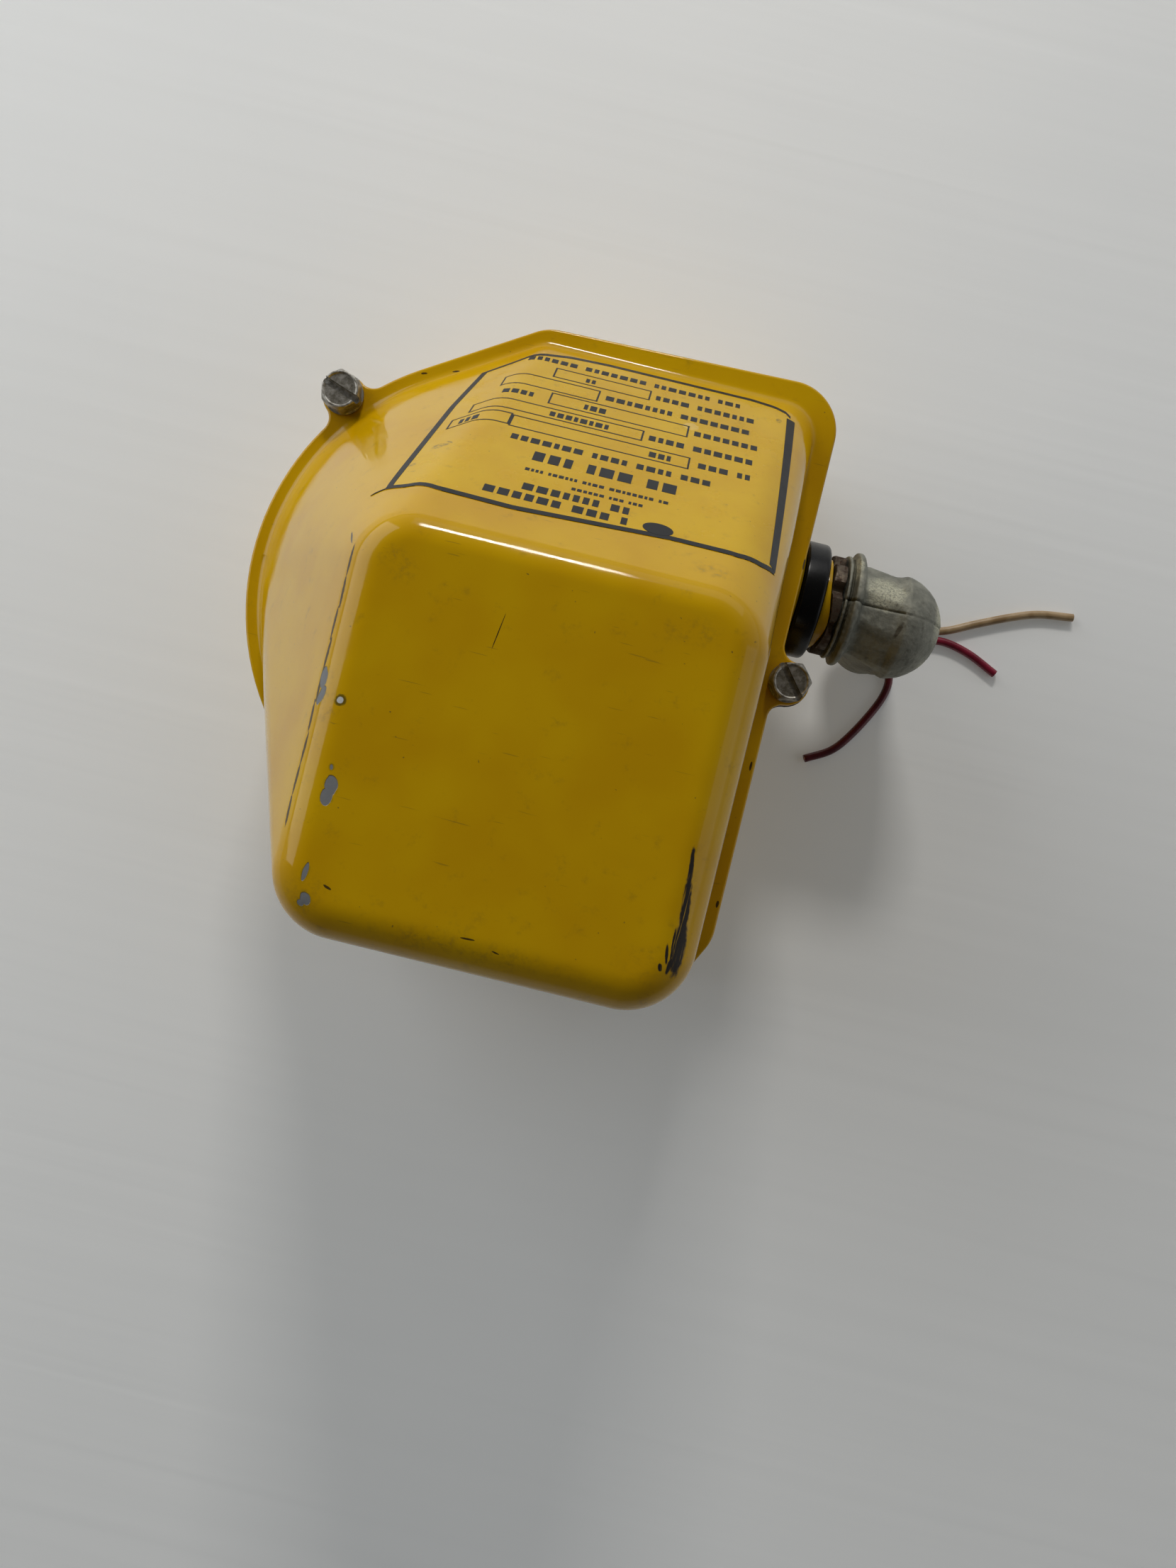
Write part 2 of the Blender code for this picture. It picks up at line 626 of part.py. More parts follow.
def gear_outline(teeth, module, centre, phase):
    """An involute gear's outline; phase is the direction of one tooth's middle, in radians."""
    pitch = teeth * module / 2
    base = pitch * math.cos(PRESSURE_ANGLE)
    tip = pitch + ADDENDUM * module
    root = pitch - DEDENDUM * module

    def half_width(radius):
        """Half of a tooth's angle at this radius."""
        if radius < base:
            radius = base
        pressure = math.acos(base / radius)
        involute = math.tan(pressure) - pressure
        at_pitch = math.tan(PRESSURE_ANGLE) - PRESSURE_ANGLE
        return (math.pi * module / 2 - BACKLASH / 2) / (2 * pitch) + at_pitch - involute

    radii = [root, pitch, tip]
    points = []
    for i in range(teeth):
        middle = phase + 2 * math.pi * i / teeth
        flank = [(radius, half_width(radius)) for radius in radii]
        tooth = [(radius, middle - half) for radius, half in flank]
        tooth += [(radius, middle + half) for radius, half in flank[::-1]]
        points += [(centre[0] + r * math.cos(turn), centre[1] + r * math.sin(turn)) for r, turn in tooth]
    return points


def step_away(start, direction, distance):
    angle = math.radians(direction)
    return (start[0] + distance * math.cos(angle), start[1] + distance * math.sin(angle))


def meshed_phase(driver_teeth, driver_phase, teeth, direction):
    """The phase that puts a gear's gap on the driver's tooth along the line between their centres."""
    line = math.radians(direction)
    pitch_angle = 2 * math.pi / driver_teeth
    offset = (driver_phase - line + pitch_angle / 2) % pitch_angle - pitch_angle / 2
    return line + math.pi + math.pi / teeth - offset * driver_teeth / teeth


def gear_train():
    """Output gear, two compound gears on arbors, and the axis where the rotor's pinion meets them."""
    cluster_2 = step_away((0, 0), CLUSTER_2_DIRECTION, (OUTPUT_TEETH + CLUSTER_2_PINION) * OUTPUT_MODULE / 2)
    apart = (CLUSTER_2_GEAR + CLUSTER_1_PINION) * FINE_MODULE / 2
    cluster_1 = step_away(cluster_2, CLUSTER_1_DIRECTION, apart)
    rotor = step_away(cluster_1, ROTOR_DIRECTION, (CLUSTER_1_GEAR + ROTOR_PINION) * FINE_MODULE / 2)

    gear = prism("output_gear", gear_outline(OUTPUT_TEETH, OUTPUT_MODULE, (0, 0), 0), *OUTPUT_GEAR_Z, "steel")
    cut(gear, cylinder("output_gear_bore", SHAFT_MAIN + 2 * GAP, 0, 30, (0, 0, 0), "steel"))

    phase = meshed_phase(OUTPUT_TEETH, 0, CLUSTER_2_PINION, CLUSTER_2_DIRECTION)
    compound("gear_cluster_2", cluster_2, (CLUSTER_2_PINION, OUTPUT_MODULE, phase, CLUSTER_2_PINION_Z),
             (CLUSTER_2_GEAR, FINE_MODULE, 0, CLUSTER_2_GEAR_Z))
    phase = meshed_phase(CLUSTER_2_GEAR, 0, CLUSTER_1_PINION, CLUSTER_1_DIRECTION)
    compound("gear_cluster_1", cluster_1, (CLUSTER_1_PINION, FINE_MODULE, phase, CLUSTER_1_PINION_Z),
             (CLUSTER_1_GEAR, FINE_MODULE, 0, CLUSTER_1_GEAR_Z))
    for i, centre in ((1, cluster_1), (2, cluster_2)):
        at = (*centre, 0)
        low = (CLUSTER_1_PINION_Z if i == 1 else CLUSTER_2_PINION_Z)[0]
        arbor = cylinder(f"gear_arbor_{i}", ARBOR, FLOOR_TOP + GAP, PLATE_Z[1] - 0.5, at, "steel", sides=10)
        collar = cylinder(f"arbor_collar_{i}", ARBOR + 4, FLOOR_TOP + GAP, low - GAP, at, "steel", sides=10)
        join(arbor, collar)
    phase = meshed_phase(CLUSTER_1_GEAR, 0, ROTOR_PINION, ROTOR_DIRECTION)
    return cluster_1, cluster_2, rotor, phase


def compound(name, centre, pinion, gear):
    """A gear and a pinion in one piece, with a bore for its arbor."""
    def wheel(label, spec):
        teeth, module, phase, heights = spec
        return prism(label, gear_outline(teeth, module, centre, phase), *heights, "brass", (*centre, 0))

    cluster = wheel(name, gear)
    join(cluster, wheel(f"{name}_pinion", pinion))
    cut(cluster, cylinder(f"{name}_bore", ARBOR + 2 * GAP, 0, PLATE_Z[1], (*centre, 0), "steel", sides=10))


def output_shaft():
    journal, main, upper = SHAFT_JOURNAL / 2, SHAFT_MAIN / 2, SHAFT_UPPER / 2
    profile = [(0, 0), (journal - 0.6, 0), (journal, 0.6), (journal, SHAFT_JOURNAL_TOP),
               (main, SHAFT_JOURNAL_TOP), (main, SHAFT_MAIN_TOP), (upper, SHAFT_MAIN_TOP),
               (upper, SHAFT_TOP - 0.6),
               (upper - 0.6, SHAFT_TOP), (0, SHAFT_TOP)]
    shaft = lathe("output_shaft", profile, (0, 0, 0), "steel", sides=24)
    for sign in (-1, 1):
        near, far = sign * DRIVE_FLATS / 2, sign * 20
        low, high = (-20, min(near, far), -2), (20, max(near, far), DRIVE_LENGTH)
        waste = block(f"drive_flat_{sign}", low, high, "steel")
        cut(shaft, waste)
    flat = SHAFT_UPPER / 2 - 1.2
    for sign in (-1, 1):
        far = sign * 20
        cut(shaft, block(f"hand_flat_{sign}", (-20, min(sign * flat, far), SHAFT_TOP - 8),
                         (20, max(sign * flat, far), SHAFT_TOP + 4), "steel"))
    inner = SHAFT_JOURNAL + 2 * GAP
    outer = inner + 2 * BUSH_WALL
    low = DRIVE_POCKET_DEPTH + 0.2
    tube("lower_bush", outer, inner, low, BEARING_BOSS_TOP, (0, 0, 0), "bronze", sides=24)
    inner = SHAFT_UPPER + 2 * GAP
    bore, barrel, flange = inner / 2, inner / 2 + 1.8, inner / 2 + 3.5
    low, seat, top = PLATE_Z[0] - 2, PLATE_Z[1] + GAP, PLATE_Z[1] + 1.8
    profile = [(bore, low), (barrel, low), (barrel, seat), (flange, seat), (flange, top), (bore, top)]
    lathe("upper_bush", profile, (0, 0, 0), "bronze", sides=24)
    tube("gear_retaining_ring", SHAFT_MAIN + 6, SHAFT_UPPER + 2 * GAP, SHAFT_MAIN_TOP + GAP, SHAFT_MAIN_TOP + 2,
         (0, 0, 0), "steel")
    tube("gear_spacer", SHAFT_MAIN + 6, SHAFT_MAIN + 2 * GAP, OUTPUT_GEAR_Z[1] + GAP, SHAFT_MAIN_TOP,
         (0, 0, 0), "steel")


def gear_plate(cluster_1, cluster_2, rotor):
    plate = prism("gear_plate", outline(RIM_CIRCLES, -PLATE_INSET), *PLATE_Z, "steel")
    low, high = PLATE_Z
    notch = block("lead_notch", (57, CONDUIT_Y - 15, low - 2), (80, CONDUIT_Y + 15, high + 2), "steel")
    cut(plate, notch)
    bores = [((0, 0), SHAFT_UPPER + 2 * GAP + 3.6 + 2 * GAP), (rotor, 12.0)]
    bores += [(cluster_1, ARBOR + 2 * GAP), (cluster_2, ARBOR + 2 * GAP)]
    bores += [(centre, PLATE_SCREW + 2 * GAP) for centre in STANDOFFS]
    for i, (centre, diameter) in enumerate(bores):
        cut(plate, cylinder(f"plate_bore_{i}", diameter, low - 2, high + 2, (*centre, 0), "steel", sides=14))
    bore = PLATE_SCREW + 2 * GAP
    for i, centre in enumerate(STANDOFFS, 1):
        hexagon = regular(6, STANDOFF_ACROSS, centre)
        post = prism(f"standoff_{i}", hexagon, FLOOR_TOP + GAP, low - GAP, "steel")
        cut(post, cylinder(f"standoff_bore_{i}", bore, low - 12, low + 2, (*centre, 0), "steel", sides=10))
        small_screw(f"plate_screw_{i}", (*centre, PLATE_Z[1] + GAP), PLATE_SCREW, PLATE_SCREW_HEAD, 10)


def small_screw(name, seat, diameter, head, length, finish="steel"):
    """A pan-head screw standing on the seat point, with a slot."""
    x, y, z = seat
    radius, tall = head / 2, head * 0.38
    shank = diameter / 2
    profile = [(0, -length), (shank, -length), (shank, 0), (radius, 0), (radius * 0.8, tall), (0, tall)]
    screw = lathe(name, profile, (x, y, z), finish, sides=10)
    half = head * 0.09
    low, high = (x - head, y - half, z + tall * 0.45), (x + head, y + half, z + tall + 2)
    cut(screw, block(f"{name}_slot", low, high, finish))


def motor(rotor, pinion_phase):
    """The synchronous motor: case on the plate, stator, rotor with its pinion, and end bell."""
    x, y = rotor
    bottom = PLATE_Z[1] + GAP
    top = bottom + MOTOR_HEIGHT
    outer, inner = MOTOR_OUTER / 2, MOTOR_INNER / 2
    profile = [(5.5, bottom), (outer - 1.5, bottom), (outer, bottom + 1.5), (outer, top), (inner, top),
               (inner, bottom + 3), (5.5, bottom + 3)]
    case = lathe("motor_case", profile, (x, y, 0), "black_plastic", sides=28)
    for i, turn in ((1, 20), (2, 200)):
        lug = step_away(rotor, turn, outer + 3)
        pad = cylinder(f"motor_lug_{i}", 9, bottom, bottom + 3, (*lug, 0), "black_plastic", sides=10)
        join(case, pad, lug_bridge(f"motor_bridge_{i}", rotor, lug, bottom))
        cut(case, cylinder(f"motor_lug_hole_{i}", 3.6, bottom - 2, bottom + 5, (*lug, 0), "steel", sides=10))
        small_screw(f"motor_screw_{i}", (*lug, bottom + 3 + GAP), 3.0, 5.5, 3.2)
    winding = MOTOR_INNER - 2 * GAP
    tube("motor_stator", winding, STATOR_INNER, bottom + 8, top - 8, (x, y, 0), "bronze", sides=24)
    bell = [(3.6, top + GAP), (outer, top + GAP), (outer, top + 3), (outer - 2, top + 5), (9, top + 5),
            (8, top + 9),
            (3.6, top + 9)]
    lathe("motor_end_bell", bell, (x, y, 0), "capacitor_can", sides=28)
    shaft, body = ROTOR_SHAFT / 2, ROTOR_DIAMETER / 2
    tip = ROTOR_PINION_Z[0] - 1
    profile = [(0, tip), (shaft, tip), (shaft, bottom + 10), (body, bottom + 10),
               (body, top - 10), (shaft, top - 10), (shaft, top + 8), (0, top + 8)]
    turning = lathe("motor_rotor", profile, (x, y, 0), "steel", sides=24, pivot=(x, y, 0))
    teeth = gear_outline(ROTOR_PINION, FINE_MODULE, rotor, pinion_phase)
    join(turning, prism("rotor_pinion", teeth, *ROTOR_PINION_Z, "steel", (x, y, 0)))


def lug_bridge(name, rotor, lug, bottom):
    """The strip that ties a screw lug to the motor's case."""
    centre, end = Vector(rotor), Vector(lug)
    along = (end - centre).normalized()
    across = Vector((-along.y, along.x)) * 4.5
    start = centre + along * (MOTOR_OUTER / 2 - 2.5)
    corners = [start - across, end - across, end + across, start + across]
    return prism(name, [tuple(c) for c in corners], bottom, bottom + 3, "black_plastic")


def capacitor():
    """The run capacitor on its side, under a saddle clamp."""
    x, y, z = CAPACITOR_CENTRE
    half, radius = CAPACITOR_LENGTH / 2, CAPACITOR / 2
    edge = radius - 1
    profile = [(0, -half), (edge, -half), (radius, -half + 1), (radius, half - 1), (edge, half), (0, half)]
    lathe("run_capacitor", profile, (x, y, z), "capacitor_can", "X", 20)
    plate = PLATE_Z[1] + GAP
    inner, outer = radius + GAP, radius + 1.8
    thick = outer - inner
    strap_line = arc((y, z), outer, 0, math.pi, 15) + [(y - outer, plate), (y - inner, plate)]
    strap_line += arc((y, z), inner, math.pi, 0, 15)
    foot = y + outer + 9
    strap_line += [(y + inner, plate), (foot, plate), (foot, plate + thick), (y + outer, plate + thick)]
    strap = prism("capacitor_clamp", strap_line, x - 6, x + 6, "steel", axis="X")
    hole_centre = (x, y + outer + 4.8)
    cut(strap, cylinder("clamp_hole", 3.6, plate - 2, plate + 4, (*hole_centre, 0), "steel", sides=10))
    small_screw("capacitor_clamp_screw", (*hole_centre, plate + 1.6 + GAP), 3.0, 5.5, 1.8)


def cams():
    """Two cams on the shaft, each with a set screw; a lobe stops just short of its lever at each end."""
    for i, (bottom, lobe) in enumerate(zip(CAM_BOTTOMS, CAM_LOBE_DIRECTIONS), 1):
        points = []
        steps = 36
        for k in range(steps):
            angle = 2 * math.pi * k / steps
            off = abs(math.degrees(unwrapped(angle - math.radians(lobe), 0)))
            rise = max(0.0, min(1.0, (30 - off) / 12))
            radius = CAM_RADIUS + (CAM_LOBE - CAM_RADIUS) * rise * rise * (3 - 2 * rise)
            points.append((radius * math.cos(angle), radius * math.sin(angle)))
        cam = prism(f"limit_cam_{i}", points, bottom, bottom + CAM_THICK, "white_plastic")
        cut(cam, cylinder(f"cam_bore_{i}", SHAFT_UPPER + 2 * GAP, bottom - 2, bottom + 9, (0, 0, 0), "steel"))
        middle = bottom + CAM_THICK / 2
        cut(cam, cylinder(f"cam_screw_hole_{i}", 3.6, -16, -4, (0, 0, middle), "steel", "Y", 8))
        screw = cylinder(f"cam_set_screw_{i}", 3.0, -10.8, -6.4, (0, 0, middle), "steel", "Y", 8)
        cut(screw, cylinder(f"set_screw_hex_{i}", 1.7, -12, -9.6, (0, 0, middle), "steel", "Y", 6))


def limit_switches():
    """Two snap switches on a bracket; each has a plunger that slides and a lever that swings onto it."""
    depth, width, thick = SWITCH_SIZE
    for i, bottom in enumerate(CAM_BOTTOMS, 1):
        low = bottom - 0.2
        corners = (SWITCH_FACE - depth, -width / 2, low), (SWITCH_FACE, width / 2, low + thick)
        body = block(f"limit_switch_{i}", *corners, "black_plastic")
        middle = low + thick / 2
        low_end, high_end = (SWITCH_FACE - 3.2, -3.8, middle - 1.3), (SWITCH_FACE + 2, -1.2, middle + 1.3)
        cut(body, block(f"plunger_pocket_{i}", low_end, high_end, "steel"))
        for k, side in enumerate(SWITCH_PIN_SIDES, 1):
            centre = (SWITCH_FACE - depth + 3, side, 0)
            hole = cylinder(f"switch_hole_{i}_{k}", 3.0, low - 2, low + thick + 2, centre, "steel", sides=10)
            cut(body, hole)
        low_end, high_end = (SWITCH_FACE - 2.0, -3.5, middle - 1.0), (SWITCH_FACE + 2.25, -1.5, middle + 1.0)
        block(f"switch_plunger_{i}", low_end, high_end, "grey_plastic", (SWITCH_FACE, -2.5, middle))
        px, py = LEVER_PIVOT
        strip = [(px + dx, py + dy) for dx, dy in LEVER_SHAPE]
        prism(f"switch_lever_{i}", strip, middle - 2.0, middle + 2.0, "steel", (px, py, middle))
    bracket()


def bracket():
    """The folded bracket with two pins that carry the switches."""
    depth, width, _ = SWITCH_SIZE
    back = SWITCH_FACE - depth
    low, high = PLATE_Z[1] + GAP, CAM_BOTTOMS[1] + 8
    plate = block("switch_bracket", (back - 2.2, -width / 2, low), (back - GAP, width / 2, high), "steel")
    foot = block("bracket_foot", (back - 11, -width / 2, low), (back - 1, width / 2, low + 1.6), "steel")
    join(plate, foot)
    hole_centre = (back - 6.5, 0)
    cut(plate, cylinder("bracket_hole", 3.6, low - 2, low + 4, (*hole_centre, 0), "steel", sides=10))
    small_screw("bracket_screw", (*hole_centre, low + 1.6 + GAP), 3.0, 5.5, 1.8)
    for k, side in enumerate(SWITCH_PIN_SIDES, 1):
        centre = (back + 3, side, 0)
        cylinder(f"switch_pin_{k}", 2.4, low, high, centre, "steel", sides=10)


def terminal_strip():
    """A barrier strip near the conduit, with a screw in each way."""
    low = PLATE_Z[1] + GAP
    x0, x1 = 42.0, 55.0
    y0, pitch, ways = 8.0, 8.6, 3
    strip = block("terminal_strip", (x0, y0, low), (x1, y0 + ways * pitch + 1.6, low + 6), "black_plastic")
    for k in range(ways + 1):
        y = y0 + k * pitch
        join(strip, block(f"barrier_{k}", (x0, y, low + 2), (x1, y + 1.6, low + 11), "black_plastic"))
    for k in range(ways):
        y = y0 + 0.8 + (k + 0.5) * pitch
        centre = ((x0 + x1) / 2, y, low + 6 + GAP)
        at = (centre[0], y, 0)
        cut(strip, cylinder(f"terminal_hole_{k}", 3.6, low + 1.5, low + 9, at, "steel", sides=10))
        small_screw(f"terminal_screw_{k + 1}", centre, 3.0, 5.6, 3.6, "brass")


def conduit_fitting():
    """Seal ring, washer, locknut and the elbow with its domed back."""
    centre = (0, CONDUIT_Y, CONDUIT_Z)
    outer, inner = SEAL_OUTER / 2, NIPPLE / 2 + GAP
    x0, x1 = SEAL_X
    profile = [(inner, x0), (outer - 0.8, x0), (outer, x0 + 0.8), (outer, x1 - 1.4), (outer - 1.4, x1),
               (inner, x1)]
    lathe("conduit_seal_ring", profile, centre, "black_rubber", "X", 24)
    tube("conduit_washer", WASHER_OUTER, 2 * inner, *WASHER_X, centre, "yellow_paint", "X", 24)
    x0, x1 = LOCKNUT_X
    nut = tube("conduit_locknut", LOCKNUT_OUTER, 2 * inner, x0, x1, centre, "rusty_steel", "X", 24)
    for k in range(8):
        angle = math.radians(45 * k + 10)
        reach = LOCKNUT_OUTER / 2
        at = (0, CONDUIT_Y + math.cos(angle) * reach, CONDUIT_Z + math.sin(angle) * reach)
        cut(nut, cylinder(f"nut_notch_{k}", 4.0, x0 - 1, x1 + 1, at, "steel", "X", 8))
    shoulder, neck, dome = SHOULDER_OUTER / 2, NECK / 2, DOME / 2
    x0, x1 = SHOULDER_X
    nipple = NIPPLE / 2
    profile = [(0, NIPPLE_START), (nipple - 1, NIPPLE_START), (nipple, NIPPLE_START + 1), (nipple, x0),
               (shoulder - 1, x0), (shoulder, x0 + 1), (shoulder, x1 - 1.2), (shoulder - 1.2, x1),
               (neck, x1 + 0.8)]
    blend_x = DOME_X - 5
    profile.append((neck, blend_x))
    for k in range(7):
        angle = math.radians(90 * k / 6)
        radius = dome * math.cos(angle)
        profile.append((radius if k < 6 else 0, DOME_X + dome * math.sin(angle)))
    elbow = lathe("conduit_elbow", profile, centre, "zinc", "X", 24)
    stub = OUTLET_STUB / 2
    stub_top = OUTLET_Z + OUTLET_STUB_LENGTH
    barrel = [(0, OUTLET_Z), (stub - 0.8, OUTLET_Z), (stub, OUTLET_Z + 0.8), (stub, stub_top),
              (neck, stub_top + 7), (neck, CONDUIT_Z), (0, CONDUIT_Z)]
    outlet = (DOME_X, CONDUIT_Y, 0)
    join(elbow, lathe("elbow_barrel", barrel, outlet, "zinc", "Z", 16))
    cut(elbow, cylinder("elbow_bore_in", PASSAGE, NIPPLE_START - 2, DOME_X, centre, "steel", "X", 16))
    cut(elbow, cylinder("elbow_bore_out", PASSAGE, OUTLET_Z - 2, CONDUIT_Z + 4, outlet, "steel", "Z", 16))


def smooth_route(points, step):
    """Evenly spaced points, about a step apart, on a smooth curve through the route's own points."""
    knots = [Vector(p) for p in points]
    ends = [2 * knots[0] - knots[1]] + knots + [2 * knots[-1] - knots[-2]]
    dense = []
    for a, b, c, d in zip(ends, ends[1:], ends[2:], ends[3:]):
        for i in range(24):
            t = i / 24
            dense.append(0.5 * (2 * b + (c - a) * t + (2 * a - 5 * b + 4 * c - d) * t * t
                                + (3 * b - a - 3 * c + d) * t * t * t))
    dense.append(knots[-1])
    total = sum((q - p).length for p, q in zip(dense, dense[1:]))
    count = max(8, round(total / step))
    spaced, walked, target = [dense[0]], 0.0, total / count
    for p, q in zip(dense, dense[1:]):
        length = (q - p).length
        while walked + length >= target * len(spaced) - 1e-9 and len(spaced) < count:
            spaced.append(p.lerp(q, (target * len(spaced) - walked) / length))
        walked += length
    return spaced + [dense[-1]]


def lead_wires():
    for name, route in LEAD_ROUTES.items():
        curve = bpy.data.curves.new(name, "CURVE")
        curve.dimensions = "3D"
        curve.bevel_depth = LEAD / 2 * MM
        curve.bevel_resolution = 2
        curve.use_fill_caps = True
        points = smooth_route(route, LEAD_STEP)
        spline = curve.splines.new("POLY")
        spline.points.add(len(points) - 1)
        for slot, point in zip(spline.points, points):
            slot.co = (*(point * MM), 1)
        obj = bpy.data.objects.new(name, curve)
        bpy.context.scene.collection.objects.link(obj)
        colour = name.removeprefix("lead_")
        curve.materials.append(finish_material(f"{colour}_wire"))


def build():
    clear_scene()
    base_housing()
    cover_gasket()
    cover_shell()
    cover_screws()
    nameplate()
    output_shaft()
    cluster_1, cluster_2, rotor, phase = gear_train()
    gear_plate(cluster_1, cluster_2, rotor)
    motor(rotor, phase)
    capacitor()
    cams()
    limit_switches()
    terminal_strip()
    conduit_fitting()
    lead_wires()


build()
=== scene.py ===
"""Looks of the compact quarter-turn actuator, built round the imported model.

Shapes are worked out in millimetres in the model's own frame, and become metres when a mesh is made.
"""
import json
import math
import random

import bmesh
import bpy
from mathutils import Matrix, Vector, noise

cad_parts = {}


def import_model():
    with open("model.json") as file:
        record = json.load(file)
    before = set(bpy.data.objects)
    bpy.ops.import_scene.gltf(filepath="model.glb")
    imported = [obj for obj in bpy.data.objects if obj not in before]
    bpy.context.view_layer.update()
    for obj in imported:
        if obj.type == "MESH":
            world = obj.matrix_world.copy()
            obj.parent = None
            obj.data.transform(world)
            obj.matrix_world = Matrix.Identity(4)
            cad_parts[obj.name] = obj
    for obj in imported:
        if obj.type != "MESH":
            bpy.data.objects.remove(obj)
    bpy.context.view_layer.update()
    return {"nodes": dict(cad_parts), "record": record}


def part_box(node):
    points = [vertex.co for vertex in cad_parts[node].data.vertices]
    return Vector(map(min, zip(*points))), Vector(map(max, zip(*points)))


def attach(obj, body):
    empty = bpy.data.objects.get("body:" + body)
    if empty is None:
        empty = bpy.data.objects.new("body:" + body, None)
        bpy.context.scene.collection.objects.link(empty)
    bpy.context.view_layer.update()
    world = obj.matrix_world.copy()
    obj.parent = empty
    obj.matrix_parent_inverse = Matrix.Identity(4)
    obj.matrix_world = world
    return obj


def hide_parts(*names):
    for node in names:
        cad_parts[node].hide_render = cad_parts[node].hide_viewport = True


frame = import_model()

MM = 0.001
SAME = 0.004 * MM  # points closer than this are one
BODY = "housing"

# Heights, read from the model
BASE_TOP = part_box("base_housing")[1].z / MM
GASKET_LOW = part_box("cover_gasket")[0].z / MM
GASKET_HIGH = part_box("cover_gasket")[1].z / MM
RIM_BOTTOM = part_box("cover_shell")[0].z / MM
RIM_THICK = 3.0
RIM_TOP = RIM_BOTTOM + RIM_THICK
COVER_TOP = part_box("cover_shell")[1].z / MM

# Outlines, each the hull of circles (x, y, radius) that run anticlockwise
RIM_CIRCLES = [
    (0, 0, 67), (-12, -81.5, 10), (56.9, -81.5, 10), (61.8, -67.2, 12), (60.8, 64.2, 13), (-2.5, 63.3, 12),
]
WALL_CIRCLES = [
    (0, 0, 63), (-12, -79.2, 8), (54.7, -79.2, 8), (58.1, -67.9, 10), (59.1, 61.9, 9), (-3.1, 62.9, 8),
]
TOP_CIRCLES = [(-11.6, -66.7, 5.5), (47.6, -66.7, 5.5), (47.6, -5.5, 5.5), (-11.6, -5.5, 5.5)]
COVER_FILLET = 9.0
COVER_WALL = 2.5
FOOT_FILLET = 1.6
EDGE = 0.7  # rounding of the rim's upper edge
RIM_CHAMFER = 0.25  # of its lower edge
TOP_EDGE = 1.2  # width of the flat top's outermost strip
BASE_WALL = 4.8
BASE_FLOOR = 6.0
EAR_RADIUS = 5.8
EAR_FILLET = 4.0
EARS = ((-53.3, 45.1), (76.8, 0.0), (-32.7, -74.7))
SCREW_HOLE = 3.5
AXIS = (0, 26.1, 39.8)  # a point on the conduit's axis, which runs along X
FINE_STEP = 3.0  # degrees between points on a round stretch
GASKET_SEED = 4
PRINT_SEED = 11

LEAD = 2.5
STRAND = 0.17  # radius
STRAND_RING = 0.36
LEAD_ROUTES = {
    "lead_beige": [
        (103.5, 30.0, 17.0), (103.6, 30.1, 12.5), (104.6, 30.5, 8.0), (108.2, 31.3, 3.9), (114.5, 32.3, 1.8),
        (121.5, 33.2, 1.3), (129.1, 34.8, 1.3), (138.1, 39.2, 1.3), (148.1, 43.8, 1.3), (156.3, 46.7, 1.3),
        (166.7, 48.2, 1.3),
    ],
    "lead_red": [
        (106.0, 25.6, 17.0), (106.1, 25.6, 12.5), (107.0, 25.9, 8.0), (110.2, 26.9, 3.9), (116.0, 28.6, 1.8),
        (122.5, 30.2, 1.3), (129.5, 31.3, 1.3), (138.0, 29.5, 1.3), (147.2, 25.4, 1.3),
    ],
    "lead_dark_red": [
        (101.0, 22.6, 17.0), (101.4, 22.4, 12.5), (103.0, 21.9, 8.0), (106.8, 21.3, 3.9), (111.8, 20.0, 1.8),
        (115.4, 16.8, 1.3), (115.5, 11.8, 1.3), (113.3, 5.6, 1.3), (108.3, -3.6, 1.3), (103.4, -9.8, 1.3),
        (95.9, -14.3, 1.3),
    ],
}


# ---- materials

